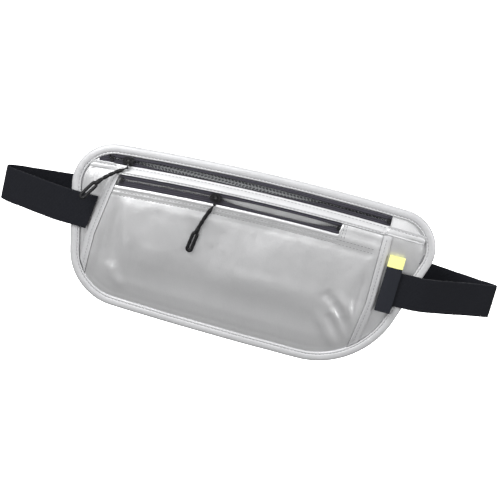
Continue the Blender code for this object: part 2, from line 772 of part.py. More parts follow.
def make_left_strap(material):
    route = [(-123.5, -8.0), (-134.0, -7.0), (-145.0, -6.3), (-152.0, -5.5), (-165.0, -0.5), (-181.0, 6.2)]
    route += [(-195.0, 12.2), (-203.0, 18.5), (-198.0, 25.8), (-183.0, 32.0), (-165.0, 39.5), (-145.0, 47.0)]
    route += [(-115.0, 55.5), (-90.0, 60.5), (-72.0, 62.1)]
    path = smooth_path(route, 3)
    loop = [(-62.0, 62.25)] + bar_loop(SOCKET_BAR_X, 1)
    loop += [(-59.5, 66.3), (-65.0, 64.3), (-72.0, 63.75), (-84.0, 62.9)]
    path += [Vector(p) for p in loop]
    mesh = webbing_mesh(path, lambda z: edge_x(LEFT_HEM_OUTER, z) - STRAP_ROOT_SETBACK)
    add_object("left_strap", mesh, material)


def make_right_strap(material):
    """The strap ends just short of where the plug stands when it has slid out."""
    route = [(112.2, -7.9), (123.0, -7.4), (134.0, -6.5), (145.0, -5.2), (158.0, 1.2), (175.0, 11.8)]
    route += [(192.0, 22.0), (203.5, 28.6), (207.4, 31.9), (203.0, 34.6), (190.0, 37.4), (170.0, 44.2)]
    route += [(147.0, 52.6), (122.0, 58.9), (100.0, RIGHT_STRAP_RUN_Y)]
    path = smooth_path(route, 3) + [Vector((RIGHT_STRAP_END_X, RIGHT_STRAP_RUN_Y))]
    add_object("right_strap", webbing_mesh(path), material)


def make_plug_webbing(material):
    path = [(68.0, 62.25), (12.0, 62.25)] + bar_loop(PLUG_BAR_X, -1)
    path += [(12.0, 66.4), (17.5, 64.4), (23.0, 63.75), (28.5, 63.75)]
    mesh = webbing_mesh([Vector(p) for p in path])
    add_object("plug_webbing", mesh, material, (PLUG_BAR_X, BUCKLE_MIDDLE_Y, STRAP_MIDDLE_Z))


def buckle_frame():
    return Matrix.Translation((0.0, BUCKLE_MIDDLE_Y, STRAP_MIDDLE_Z))


def bar_mesh(bar_x):
    """The cross-bar that a webbing end is folded round."""
    size = Vector((BAR_HALF_LENGTH, BAR_HALF_THICK, BUCKLE_INNER_HALF_WIDTH))
    centre = Vector((bar_x, 0.0, 0.0))
    return block_mesh(centre - size, centre + size)


def make_socket(material):
    """Female half: a flat box open towards +X, with a window in each edge and a strap bar."""
    frame = buckle_frame()
    half = BUCKLE_HALF_THICK
    outline = [(-47.5, -17.0), (-45.5, -19.0), (-14.0, -19.0), (-12.0, -17.5)]
    outline += [(-12.0, 17.5), (-14.0, 19.0), (-45.5, 19.0), (-47.5, 17.0)]
    shell = framed(prism_mesh(outline, -half, half), frame)
    socket = add_object("buckle_socket", shell, material)
    for word, low, high in (("low", -18.5, -15.0), ("high", 15.0, 18.5)):
        rail = block_mesh((-57.0, -2.8, low), (-46.0, 2.8, high))
        shape_with(socket, rail, "UNION", f"socket_rail_{word}", frame)
    shape_with(socket, bar_mesh(SOCKET_BAR_X), "UNION", "socket_bar", frame)
    inner = BUCKLE_INNER_HALF_WIDTH
    cavity = block_mesh((-44.5, -2.8, -inner), (-11.0, 2.8, inner))
    shape_with(socket, cavity, "DIFFERENCE", "socket_cavity", frame)
    windows = block_mesh((-38.5, -2.9, -21.0), (-23.0, 2.9, 21.0))
    shape_with(socket, windows, "DIFFERENCE", "socket_windows", frame)


def make_plug(material):
    """Male half: a block with a centre tongue and a strap bar between two rails."""
    frame = buckle_frame()
    outline = [(-11.6, -17.0), (-1.0, -18.0), (0.5, -16.5), (0.5, 16.5), (-1.0, 18.0), (-11.6, 17.0)]
    block = framed(prism_mesh(outline, -3.8, 3.8), frame)
    plug = add_object("buckle_plug", block, material, frame.translation)
    tongue = block_mesh((-38.0, -1.8, -3.0), (-11.0, 1.8, 3.0))
    shape_with(plug, tongue, "UNION", "plug_tongue", frame)
    for word, low, high in (("low", -18.0, -15.0), ("high", 15.0, 18.0)):
        rail = block_mesh((-1.5, -2.7, low), (9.5, 2.7, high))
        shape_with(plug, rail, "UNION", f"plug_rail_{word}", frame)
    shape_with(plug, bar_mesh(PLUG_BAR_X), "UNION", "plug_bar", frame)


def make_squeeze_arms(material):
    """Two spring arms whose wedge heads stand in the socket's windows."""
    outline = [(ARM_ROOT_X, 10.8), (ARM_ROOT_X, 14.4), (-24.0, 14.4), (-24.0, 17.8), (-27.0, 18.2)]
    outline += [(-34.0, 17.0), (-41.0, 12.5), (-41.0, 10.8)]
    for word, side in (("upper", 1), ("lower", -1)):
        mirrored = [(x, side * z) for x, z in outline]
        mesh = framed(prism_mesh(mirrored, -ARM_HALF_THICK, ARM_HALF_THICK), buckle_frame())
        root = buckle_frame() @ Vector((ARM_ROOT_X, 0.0, side * 12.6))
        add_object(f"{word}_squeeze_arm", mesh, material, root)


def make_adjuster(material):
    """A tri-glide: two rails, two cross-bars behind the webbing and a middle bar in front of it."""
    front, rear = ADJUSTER_Y
    length, width, corner = ADJUSTER_HALF_LENGTH, ADJUSTER_HALF_WIDTH, ADJUSTER_CORNER
    quarter = [(length - corner, width), (length, width - corner)]
    outline = [(x, -z) for x, z in quarter] + [(x, z) for x, z in reversed(quarter)]
    outline += [(-x, z) for x, z in quarter] + [(-x, -z) for x, z in reversed(quarter)]
    frame = Matrix.Translation((ADJUSTER_X, 0.0, STRAP_MIDDLE_Z))
    origin = (ADJUSTER_X, (front + rear) / 2, STRAP_MIDDLE_Z)
    plate = framed(prism_mesh(outline, front, rear), frame)
    adjuster = add_object("strap_adjuster", plate, material, origin)
    inner, past = width - ADJUSTER_RAIL, length + 2.0
    cuts = {
        "channel": ((-past, front + ADJUSTER_WALL, -inner), (past, rear - ADJUSTER_WALL, inner)),
        "rear_gap": ((-6.5, rear - 2.0, -inner), (6.5, rear + 1.0, inner)),
        "left_gap": ((-past, front - 1.0, -inner), (-2.0, front + 2.0, inner)),
        "right_gap": ((2.0, front - 1.0, -inner), (past, front + 2.0, inner)),
    }
    for word, (a, b) in cuts.items():
        shape_with(adjuster, block_mesh(a, b), "DIFFERENCE", f"adjuster_{word}", frame)


def main():
    clear_scene()
    materials = {name: make_material(name) for name in COLOURS}
    silver = materials["silver_fabric"]
    make_back_panel(materials["mesh_lining"])
    make_middle_panel(silver)
    make_front_panel(silver)
    make_hem("left_hem", LEFT_HEM_INNER, LEFT_HEM_OUTER, silver)
    make_hem("right_hem", RIGHT_HEM_INNER, RIGHT_HEM_OUTER, silver)
    make_zip_strip(silver)
    make_edge_binding(silver)
    make_zip("rear", REAR_ZIP, REAR_PULL_LIFT, REAR_PULL_SWING, materials)
    make_zip("front", FRONT_ZIP, 0.0, FRONT_PULL_SWING, materials)
    make_left_strap(materials["webbing"])
    make_right_strap(materials["webbing"])
    add_object("side_tab", block_mesh(*TAB_BOX), materials["tab_fabric"])
    plastic = materials["buckle_plastic"]
    make_socket(plastic)
    make_plug(plastic)
    make_squeeze_arms(plastic)
    make_plug_webbing(materials["webbing"])
    make_adjuster(plastic)


main()
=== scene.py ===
"""Looks of the money belt: sewn fabric, zips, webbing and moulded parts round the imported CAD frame.

Shapes are worked out in millimetres in the CAD's frame and written in metres.
"""

import math

import bmesh
import bpy
import numpy as np
from mathutils import Matrix, Vector, noise
from mathutils.bvhtree import BVHTree


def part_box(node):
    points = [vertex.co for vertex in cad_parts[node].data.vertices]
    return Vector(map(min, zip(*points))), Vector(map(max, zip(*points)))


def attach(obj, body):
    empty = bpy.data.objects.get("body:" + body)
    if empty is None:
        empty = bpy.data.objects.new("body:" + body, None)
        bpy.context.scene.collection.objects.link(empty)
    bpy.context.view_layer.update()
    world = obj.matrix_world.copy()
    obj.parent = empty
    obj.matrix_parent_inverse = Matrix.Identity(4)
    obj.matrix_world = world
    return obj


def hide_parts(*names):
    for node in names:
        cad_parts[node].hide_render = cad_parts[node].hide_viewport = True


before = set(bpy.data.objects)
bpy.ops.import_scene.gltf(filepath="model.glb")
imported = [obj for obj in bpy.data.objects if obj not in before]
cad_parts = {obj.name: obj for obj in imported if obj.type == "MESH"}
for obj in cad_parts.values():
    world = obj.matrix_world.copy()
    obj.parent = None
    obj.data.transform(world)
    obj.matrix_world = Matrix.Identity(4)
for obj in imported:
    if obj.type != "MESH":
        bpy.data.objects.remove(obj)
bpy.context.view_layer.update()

MM = 0.001
POUCH = "pouch"

# ---- shape rules shared with the CAD
# Outline corners are (x, z, radius). Depth rules are (distance inside the outline, depth), and depths
# are measured from the waist side towards the front. Edges are (x, z) from top to bottom. Levels are
# heights on the arc that both zips follow.

OUTLINE_CORNERS = [(-153.0, 60.5, 32.0), (158.0, 68.0, 29.0), (114.0, -69.5, 68.0), (-130.0, -64.0, 44.0)]
TOP_BOW, BOTTOM_BOW, BOW_HALF_LENGTH, BOW_TOP_Z, BOW_BOTTOM_Z = 6.5, 3.5, 150.0, 65.0, 68.0
ARC_X, ARC_RADIUS = 40.0, 1750.0
BINDING_WIDTH = 7.5
PANEL_THICK = 0.6
MIDDLE_DEPTHS = [(1.7, 2.1), (8.0, 2.3), (15.0, 4.7), (24.0, 6.3), (36.0, 6.6)]
FRONT_DEPTHS = [(1.7, 3.1), (8.0, 3.4), (14.0, 7.2), (22.0, 10.4), (32.0, 11.6), (45.0, 12.3)]
LEFT_HEM_INNER = [(-109.3, 46.0), (-114.0, 21.0), (-119.3, -10.0), (-121.5, -60.0)]
LEFT_HEM_OUTER = [(-116.4, 46.0), (-121.3, 21.0), (-126.5, -10.0), (-128.5, -60.0)]
RIGHT_HEM_INNER = [(103.0, 46.0), (103.5, -10.0), (98.0, -60.0)]
RIGHT_HEM_OUTER = [(110.5, 46.0), (111.0, -10.0), (105.0, -60.0)]
REAR_ZIP = dict(level=59.6, depth=6.4, ends=(-122.0, 105.8), open=(-101.0, 50.0), slider=-105.5, lowest=54.0)
FRONT_ZIP = dict(level=44.8, depth=11.0, ends=(-109.5, 68.8), open=(-27.5, 63.0), slider=-32.0, lowest=37.6)
FRONT_TOP_LEVEL, POCKET_TOP_LEVEL, FRONT_TAPE_TOP = 39.6, 48.7, 50.8
STRIP_KNEE_LEVEL, STRIP_TOP_LEVEL = 51.0, 55.9
ZIP_GROOVE, ZIP_OPENING_DOWN, ZIP_OPENING_UP = 1.6, 2.6, 0.8
BRIDGE_REACH, LINK_LENGTH = 3.9, 5.0
PULL_STEM_END, PULL_END = 29.0, 41.0
STRAP_WIDTH, STRAP_THICK, STRAP_MIDDLE_Z = 28.0, 1.2, 6.0
BUCKLE_MIDDLE_Y, BAR_LOOP_RADIUS, SOCKET_BAR_X, PLUG_BAR_X = 64.55, 2.3, -55.5, 8.0


def smooth_step(low, high, value):
    """0 up to low, 1 from high on, and a smooth rise between."""
    t = np.clip((value - low) / (high - low), 0.0, 1.0)
    return t * t * (3.0 - 2.0 * t)


def bell(value, centre, width):
    """1 at the centre, falling off smoothly over this width."""
    return np.exp(-0.5 * ((value - centre) / width) ** 2)


def unit(vectors):
    return vectors / np.maximum(np.linalg.norm(vectors, axis=-1, keepdims=True), 1e-9)


OUTLINE_STEPS = 40


def pouch_outline():
    """Dense outline of the pouch, clockwise, as an array of (x, z)."""
    arcs = []
    count = len(OUTLINE_CORNERS)
    for i, (x, z, radius) in enumerate(OUTLINE_CORNERS):
        here = Vector((x, z))
        back = (Vector(OUTLINE_CORNERS[i - 1][:2]) - here).normalized()
        on = (Vector(OUTLINE_CORNERS[(i + 1) % count][:2]) - here).normalized()
        half = back.angle(on) / 2
        centre = here + (back + on).normalized() * (radius / math.sin(half))
        start = here + back * (radius / math.tan(half)) - centre
        sweep = start.angle_signed(here + on * (radius / math.tan(half)) - centre)
        arc = []
        for k in range(OUTLINE_STEPS + 1):
            turn = -sweep * k / OUTLINE_STEPS
            arc.append((centre.x + start.x * math.cos(turn) - start.y * math.sin(turn),
                        centre.y + start.x * math.sin(turn) + start.y * math.cos(turn)))
        arcs.append(arc)
    points = []
    for i, arc in enumerate(arcs):
        points += arc
        a, b = np.array(arc[-1]), np.array(arcs[(i + 1) % count][0])
        points += [tuple(a + (b - a) * k / OUTLINE_STEPS) for k in range(1, OUTLINE_STEPS)]
    points = np.array(points)
    x, z = points[:, 0], points[:, 1]
    swell = 1.0 - (x / BOW_HALF_LENGTH) ** 2
    up = TOP_BOW * swell * np.maximum(z, 0.0) / BOW_TOP_Z
    down = BOTTOM_BOW * swell * np.maximum(-z, 0.0) / BOW_BOTTOM_Z
    return np.stack([x, z + up - down], axis=1)


OUTLINE = pouch_outline()
ALONG = unit(np.roll(OUTLINE, -1, axis=0) - np.roll(OUTLINE, 1, axis=0))
INWARD = np.stack([ALONG[:, 1], -ALONG[:, 0]], axis=1)


def edge_distance(x, z):
    """Distance inside the outline for arrays of places; negative outside."""
    x, z = np.broadcast_arrays(np.asarray(x, float), np.asarray(z, float))
    shape, p = x.shape, np.stack([x.ravel(), z.ravel()], axis=1)
    a, b = OUTLINE, np.roll(OUTLINE, -1, axis=0)
    side = b - a
    nearest = np.full(len(p), np.inf)
    inside = np.zeros(len(p), bool)
    for i in range(len(a)):
        away = p - a[i]
        share = np.clip(away @ side[i] / (side[i] @ side[i]), 0.0, 1.0)
        nearest = np.minimum(nearest, np.hypot(*(away - share[:, None] * side[i]).T))
        if a[i, 1] != b[i, 1]:
            crosses = (a[i, 1] > p[:, 1]) != (b[i, 1] > p[:, 1])
            inside ^= crosses & (p[:, 0] < a[i, 0] + (p[:, 1] - a[i, 1]) / side[i, 1] * side[i, 0])
    return np.where(inside, nearest, -nearest).reshape(shape)


KNEE_SOFTNESS = 1.6


def depth_rule(points):
    """The CAD's depth at a distance from the outline, with its knees rounded."""
    reach = np.arange(-10.0, 80.0, 0.25)
    value = np.interp(reach, *np.array(points).T)
    span = np.arange(-6.0, 6.01, 0.25)
    weight = bell(span, 0.0, KNEE_SOFTNESS)
    padded = np.pad(value, len(span) // 2, mode="edge")
    value = np.convolve(padded, weight / weight.sum(), mode="valid")
    return lambda x, z: np.interp(edge_distance(x, z), reach, value)


middle_depth = depth_rule(MIDDLE_DEPTHS)
front_depth = depth_rule(FRONT_DEPTHS)


def edge_x(edge, z):
    """x along an edge given from top to bottom."""
    heights = [-p[1] for p in edge]
    return np.interp(-np.asarray(z, float), heights, [p[0] for p in edge])


def level_z(x, level):
    """Height of a level above x."""
    return np.sqrt((ARC_RADIUS + level) ** 2 - (x - ARC_X) ** 2) - ARC_RADIUS


def arc_point(x, level):
    """(x, z) on a level, where x is measured along the arc."""
    radius = ARC_RADIUS + level
    angle = (x - ARC_X) / radius
    return ARC_X + radius * np.sin(angle), radius * np.cos(angle) - ARC_RADIUS


def reach_edge(place, inner, outer, distance):
    """Parameters between inner and outer where place(parameter) is this far inside the outline."""
    for _ in range(22):
        middle = (inner + outer) / 2
        within = edge_distance(*place(middle)) > distance
        inner = np.where(within, middle, inner)
        outer = np.where(within, outer, middle)
    return inner


def binding_level(x):
    """Level at which the zips' arc meets the inner edge of the binding."""
    return reach_edge(lambda level: arc_point(x, level), 40.0, 90.0, BINDING_WIDTH)


def opening_share(zipper, x):
    """How far open a zip is: 1 midway along its opening, 0 beyond the ends of it."""
    start, end = zipper["open"]
    place = (2.0 * np.asarray(x, float) - start - end) / (end - start)
    return np.maximum(0.0, 1.0 - place**4)


def lip_level(zipper, x, side):
    """Level of a tape's lip: side is 1 for the upper tape and -1 for the lower one."""
    spread = ZIP_OPENING_UP if side > 0 else ZIP_OPENING_DOWN
    return zipper["level"] + side * (ZIP_GROOVE / 2 + spread * opening_share(zipper, x))


def noise_at(*place):
    """Smooth noise in -1..1 at one place."""
    return noise.noise(Vector(place))


def noise_field(x, z, scale_x, scale_z, seed):
    """Smooth noise in -1..1 over arrays of places."""
    x, z = np.broadcast_arrays(np.asarray(x, float), np.asarray(z, float))
    flat = [noise_at(a / scale_x, b / scale_z, seed) for a, b in zip(x.ravel(), z.ravel())]
    return np.array(flat).reshape(x.shape)


def crease(x, z, start, end, width, height):
    """A soft fold between two places: a bell of this width and height, fading at both ends."""
    a, b = np.array(start, float), np.array(end, float)
    along = b - a
    length = np.hypot(*along)
    along = along / length
    dx, dz = x - a[0], z - a[1]
    t = (dx * along[0] + dz * along[1]) / length
    off = -dx * along[1] + dz * along[0]
    fade = smooth_step(-0.15, 0.3, t) * (1.0 - smooth_step(0.7, 1.15, t))
    return height * fade * bell(off, 0.0, width)


def mounds(x, z, table):
    """Sum of smooth mounds, each with its centre, half widths and height."""
    return sum(height * bell(x, cx, wide) * bell(z, cz, tall) for (cx, cz), (wide, tall), height in table)


CAP_SHARPNESS = 3.0


def soft_minimum(value, cap):
    """The lower of the two, rounded where they cross."""
    return -np.logaddexp(-CAP_SHARPNESS * value, -CAP_SHARPNESS * cap) / CAP_SHARPNESS


def between(low, high, shares):
    """Grid of places from low to high: one row for each of their entries."""
    return low[:, None] + (high - low)[:, None] * np.asarray(shares)


# ---- meshes


def new_object(name, data):
    made = bpy.data.objects.new(name, data)
    bpy.context.scene.collection.objects.link(made)
    return made


def finish_piece(name, mesh, material, body=POUCH, nodes=(), sharp=42.0):
    """Turns a bmesh in millimetres into a piece that rides on a body."""
    bmesh.ops.recalc_face_normals(mesh, faces=mesh.faces)
    bmesh.ops.scale(mesh, verts=mesh.verts, vec=(MM, MM, MM))
    data = bpy.data.meshes.new(name)
    mesh.to_mesh(data)
    mesh.free()
    data.shade_smooth()
    data.set_sharp_from_angle(angle=math.radians(sharp))
    for entry in material if isinstance(material, list) else [material]:
        data.materials.append(entry)
    piece = new_object(name, data)
    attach(piece, body)
    if nodes:
        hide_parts(*nodes)
    return piece


def bridge(mesh, rows, ring=False):
    """Quads between closed rows of vertices, each joined to the next."""
    for first, second in zip(rows, rows[1:] + rows[:1] if ring else rows[1:]):
        for j in range(len(first)):
            m = (j + 1) % len(first)
            mesh.faces.new((first[j], first[m], second[m], second[j]))


def loft(sections, ring=False):
    """Quads through sections. Each section runs out along one face and back along the other."""
    mesh = bmesh.new()
    rows = [[mesh.verts.new(p) for p in section] for section in np.asarray(sections, float)]
    bridge(mesh, rows, ring)
    for row in () if ring else (rows[0], rows[-1]):
        count = len(row)
        for j in range(count // 2 - 1):
            mesh.faces.new((row[j], row[j + 1], row[count - 2 - j], row[count - 1 - j]))
    return mesh


EDGE_ROLL, EDGE_STEP = 0.45, 0.8


def finish_sheet(name, x, y, z, material, node):
    """A sheet of the pouch's fabric from grids of its front face, with rounded long edges."""
    front = np.stack([np.broadcast_to(x, z.shape), y, z], axis=2)
    out = unit(np.cross(np.gradient(front, axis=0), np.gradient(front, axis=1)))
    out *= np.where(out[..., 1:2] > 0.0, -1.0, 1.0)
    back = front - out * PANEL_THICK
    for row, following in ((0, 1), (-1, -2)):
        edge = front[:, row].copy()
        toward = front[:, following] - edge
        gap = np.maximum(np.linalg.norm(toward, axis=1, keepdims=True), 1e-6)
        front[:, row] = edge - out[:, row] * PANEL_THICK * EDGE_ROLL
        front[:, following] = edge + toward / gap * np.minimum(gap, PANEL_THICK * EDGE_STEP)
    sections = np.concatenate([front, back[:, ::-1]], axis=1)
    return finish_piece(name, loft(sections), material, nodes=[node])


def add_tube(mesh, path, radius, sides=6, ring=False):
    """Adds a round tube along points; radius may be a list with one value for each of them."""
    path = [Vector(p) for p in path]
    rows, count = [], len(path)
    for i, point in enumerate(path):
        before = path[i - 1 if ring or i else 0]
        after = path[(i + 1) % count if ring else min(i + 1, count - 1)]
        along = (after - before).normalized()
        side = along.cross(Vector((0.0, 1.0, 0.0)))
        side = side.normalized() if side.length > 0.05 else Vector((1.0, 0.0, 0.0))
        up = side.cross(along)
        size = radius[i] if isinstance(radius, list) else radius
        row = []
        for k in range(sides):
            turn = 2.0 * math.pi * k / sides
            row.append(mesh.verts.new(point + side * size * math.cos(turn) + up * size * math.sin(turn)))
        rows.append(row)
    bridge(mesh, rows, ring)
    if not ring:
        mesh.faces.new(rows[0])
        mesh.faces.new(rows[-1])


def lengths_along(points):
    return np.concatenate([[0.0], np.cumsum(np.linalg.norm(np.diff(points, axis=0), axis=1))])


def points_at(points, places):
    """Points at these distances along a polyline."""
    lengths = lengths_along(points)
    return np.stack([np.interp(places, lengths, column) for column in points.T], axis=1)


def walk(points, pitch):
    """Places spaced evenly along a polyline: [(point, unit direction)]."""
    points = np.asarray(points, float)
    places = np.arange(pitch / 2, lengths_along(points)[-1], pitch)
    direction = unit(points_at(points, places + 0.3) - points_at(points, places - 0.3))
    return zip(points_at(points, places), direction)


def surface_tree(*pieces):
    """A ray-casting tree over pieces, in millimetres."""
    verts, faces = [], []
    for piece in pieces:
        start = len(verts)
        verts += [v.co / MM for v in piece.data.vertices]
        faces += [[start + i for i in p.vertices] for p in piece.data.polygons]
    return BVHTree.FromPolygons(verts, faces)


def on_surface(tree, x, z, toward=1.0):
    """y of the face first met along y, from the front or, with toward -1, from the rear."""
    hit = tree.ray_cast(Vector((x, -60.0 * toward, z)), Vector((0.0, toward, 0.0)))[0]
    return None if hit is None else hit.y


STITCH_PITCH, STITCH_LENGTH, STITCH_RADIUS = 2.9, 2.1, 0.21
STITCH_SINK = [(-0.5, 0.22), (-0.3, -0.03), (0.0, -0.12), (0.3, -0.03), (0.5, 0.22)]


def sewn_line(mesh, tree, points, toward=1.0):
    """Stitches along (x, z) points, laid on the surface below them and sunk in at both ends."""
    radii = [STITCH_RADIUS * share for share in (0.7, 1.0, 1.0, 1.0, 0.7)]
    for place, direction in walk(points, STITCH_PITCH):
        path = []
        for t, sink in STITCH_SINK:
            x, z = place + direction * STITCH_LENGTH * t
            y = on_surface(tree, x, z, toward)
            if y is not None:
                path.append((x, y + sink * toward, z))
        if len(path) == len(STITCH_SINK):
            add_tube(mesh, path, radii)


# ---- materials


class Nodes:
    """A node tree, built up by short calls."""

    def __init__(self, tree):
        self.tree = tree

    def node(self, kind, operation=None, *inputs, **values):
        made = self.tree.nodes.new(kind)
        if operation:
            made.operation = operation
        for socket, value in zip(made.inputs, inputs):
            self.put(socket, value)
        for key, value in values.items():
            self.put(made.inputs[key.replace("_", " ")], value)
        return made

    def put(self, socket, value):
        if isinstance(value, bpy.types.NodeSocket):
            self.tree.links.new(value, socket)
        else:
            socket.default_value = value

    def math(self, operation, *inputs):
        return self.node("ShaderNodeMath", operation, *inputs).outputs[0]


class Shader(Nodes):
    """A material's nodes: place, x and z are in millimetres."""

    def __init__(self, name, roughness=0.6, **fixed):
        self.material = bpy.data.materials.new(name)
        self.material.use_nodes = True
        super().__init__(self.material.node_tree)
        self.surface = self.tree.nodes["Principled BSDF"]
        for key, value in {"Roughness": roughness, **fixed}.items():
            self.surface.inputs[key.replace("_", " ")].default_value = value
        metres = self.node("ShaderNodeTexCoord").outputs["Object"]
        self.place = self.node("ShaderNodeVectorMath", "SCALE", metres, Scale=1.0 / MM).outputs[0]
        self.x, _, self.z = self.node("ShaderNodeSeparateXYZ", None, self.place).outputs

    def sum(self, *terms):
        """Sum of values times their shares."""
        total = 0.0
        for value, share in terms:
            total = self.math("MULTIPLY_ADD", value, share, total)
        return total

    def noise(self, scale, detail=2.0, stretch=None):
        """Noise in 0..1 with features about scale millimetres across."""
        place = self.place
        if stretch:
            place = self.node("ShaderNodeVectorMath", "MULTIPLY", place, stretch).outputs[0]
        made = self.node("ShaderNodeTexNoise", None, place, Scale=1.0 / scale, Detail=detail)
        return made.outputs["Fac"]

    def wave(self, value, period, phase=0.0):
        """A wave in 0..1 of this period in millimetres."""
        turn = self.math("MULTIPLY_ADD", value, 2.0 * math.pi / period, phase)
        return self.math("MULTIPLY_ADD", self.math("SINE", turn), 0.5, 0.5)

    def blend(self, share, low, high):
        """Values or colours mixed by a share in 0..1."""
        if isinstance(low, (int, float)):
            return self.node("ShaderNodeMapRange", None, share, To_Min=low, To_Max=high).outputs[0]
        made = self.tree.nodes.new("ShaderNodeMix")
        made.data_type = "RGBA"
        self.put(made.inputs[0], share)
        for socket, value in ((made.inputs[6], low), (made.inputs[7], high)):
            self.put(socket, value if isinstance(value, bpy.types.NodeSocket) else (*value, 1.0))
        return made.outputs[2]

    def done(self, colour, roughness=None, bumps=()):
        """bumps are (height 0..1, depth in millimetres, strength)."""
        self.put(self.surface.inputs["Base Color"], colour)
        if roughness is not None:
            self.put(self.surface.inputs["Roughness"], roughness)
        normal = None
        for height, depth, strength in bumps:
            bump = self.node("ShaderNodeBump", Height=height, Distance=depth * MM, Strength=strength)
            if normal:
                self.put(bump.inputs["Normal"], normal)
            normal = bump.outputs[0]
        if normal:
            self.put(self.surface.inputs["Normal"], normal)
        return self.material


def level_coordinate(s):
    """Height above the zips' far centre, so that ribs follow the zips' arc."""
    across = s.math("SUBTRACT", s.x, ARC_X)
    up = s.math("ADD", s.z, ARC_RADIUS)
    square = s.math("ADD", s.math("MULTIPLY", across, across), s.math("MULTIPLY", up, up))
    return s.math("SQRT", square)


def silver_material(name, light, dark, crinkle, roughness=(0.26, 0.38), metallic=0.78):
    """Coated silver-grey satin: fine plain weave, cloudy tone and small crinkles."""
    s = Shader(name, Metallic=metallic)
    warp, weft = s.wave(s.x, 0.62), s.wave(s.z, 0.62, 1.3)
    weave = s.math("MAXIMUM", warp, weft)
    cloud = s.noise(46.0, 3.0)
    fleck = s.noise(1.1, 2.0)
    wear = s.noise(9.0, 4.0)
    colour = s.blend(s.sum((cloud, 0.62), (fleck, 0.38), (weave, -0.08)), dark, light)
    rough = s.blend(wear, *roughness)
    ridges = s.noise(7.5, 5.0, (1.0, 1.0, 0.55))
    return s.done(colour, rough, [(weave, 0.06, 0.35), (fleck, 0.05, 0.3), (ridges, crinkle, 0.5)])


def tape_material():
    """Black zip tape: lengthwise ribs with a fine cross weave."""
    s = Shader("zip_tape_weave", 0.75, Specular_IOR_Level=0.3, Sheen_Weight=0.08)
    level = level_coordinate(s)
    rib = s.wave(level, 1.6)
    cross = s.wave(s.x, 0.45)
    fuzz = s.noise(0.9, 3.0)
    colour = s.blend(s.sum((rib, 0.55), (fuzz, 0.45)), (0.01, 0.0095, 0.014), (0.05, 0.047, 0.062))
    return s.done(colour, s.blend(fuzz, 0.62, 0.86), [(rib, 0.2, 0.7), (cross, 0.05, 0.4), (fuzz, 0.06, 0.4)])


def webbing_material():
    """Black elastic webbing: narrow lengthwise ribs and short cross threads."""
    s = Shader("elastic_webbing", 0.85, Specular_IOR_Level=0.2)
    rib = s.wave(s.z, 1.05)
    cross = s.wave(s.sum((s.x, 1.0), (rib, 0.35)), 0.8)
    fuzz = s.noise(0.7, 3.0)
    cloud = s.noise(30.0, 2.0)
    tone = s.sum((rib, 0.3), (cross, 0.3), (fuzz, 0.25), (cloud, 0.25))
    colour = s.blend(tone, (0.0022, 0.0025, 0.004), (0.009, 0.01, 0.0145))
    return s.done(colour, s.blend(fuzz, 0.7, 0.92), [(rib, 0.16, 0.6), (cross, 0.1, 0.5), (fuzz, 0.06, 0.4)])


def moulded_material(name, base_roughness, colours, roughness, grain, smudge, **fixed):
    """Moulded stuff with a fine grain, and smudges that vary its tone and gloss.

    grain is (size, bump depth, bump strength). smudge is (size, detail), then a bump's numbers if it has one.
    """
    s = Shader(name, base_roughness, **fixed)
    fine, broad = s.noise(grain[0]), s.noise(*smudge[:2])
    bumps = [(fine, *grain[1:])]
    if smudge[2:]:
        bumps.append((broad, *smudge[2:]))
    return s.done(s.blend(broad, *colours), s.blend(broad, *roughness), bumps)


def metal_material():
    """Black lacquered zinc of the sliders, rubbed a little brighter in places."""
    s = Shader("lacquered_metal", 0.35, Metallic=0.55, Coat_Weight=0.35, Coat_Roughness=0.2)
    rub, grain = s.noise(1.6, 4.0), s.noise(0.25, 2.0)
    rubbed = s.math("POWER", rub, 3.0)
    colour = s.blend(rubbed, (0.01, 0.01, 0.011), (0.09, 0.09, 0.095))
    return s.done(colour, s.blend(rub, 0.26, 0.46), [(grain, 0.02, 0.3)])


def lining_material():
    """Grey spacer mesh of the waist side: rows of small open cells, with painted shade inside the cells."""
    s = Shader("spacer_mesh", 0.9, Sheen_Weight=0.2, Sheen_Roughness=0.6)
    row = s.wave(s.z, 2.4)
    shifted = s.sum((s.x, 1.0), (s.wave(s.z, 4.8), 1.4))
    cell = s.math("MULTIPLY", row, s.wave(shifted, 2.8))
    shaded_hole = s.math("SMOOTH_MIN", s.math("MULTIPLY", cell, 2.2), 1.0, 0.2)
    fuzz = s.noise(0.8, 3.0)
    light = s.blend(fuzz, (0.27, 0.28, 0.29), (0.4, 0.41, 0.42))
    # The cells are painted near black: painted shade that stands in for the depth of the open cells.
    colour = s.blend(shaded_hole, light, (0.07, 0.072, 0.078))
    depth = s.math("SUBTRACT", 1.0, shaded_hole)
    return s.done(colour, s.blend(fuzz, 0.8, 0.95), [(depth, 0.5, 0.8), (fuzz, 0.08, 0.4)])


def thread_material(name, light, dark):
    """Twisted sewing thread."""
    s = Shader(name, 0.6, Sheen_Weight=0.2)
    twist = s.wave(s.math("ADD", s.x, s.z), 0.5)
    fuzz = s.noise(0.5, 2.0)
    tone = s.sum((twist, 0.5), (fuzz, 0.5))
    return s.done(s.blend(tone, dark, light), s.blend(fuzz, 0.5, 0.75), [(twist, 0.06, 0.6)])


def ribbon_material(name, light, dark):
    """Woven ribbon of the side tab."""
    s = Shader(name, 0.7, Specular_IOR_Level=0.3)
    warp, weft = s.wave(s.x, 0.5), s.wave(s.z, 0.42)
    fuzz = s.noise(1.2, 3.0)
    tone = s.sum((s.math("MULTIPLY", warp, weft), 0.5), (fuzz, 0.5))
    return s.done(s.blend(tone, dark, light), s.blend(fuzz, 0.6, 0.8), [(warp, 0.07, 0.5), (weft, 0.05, 0.5)])


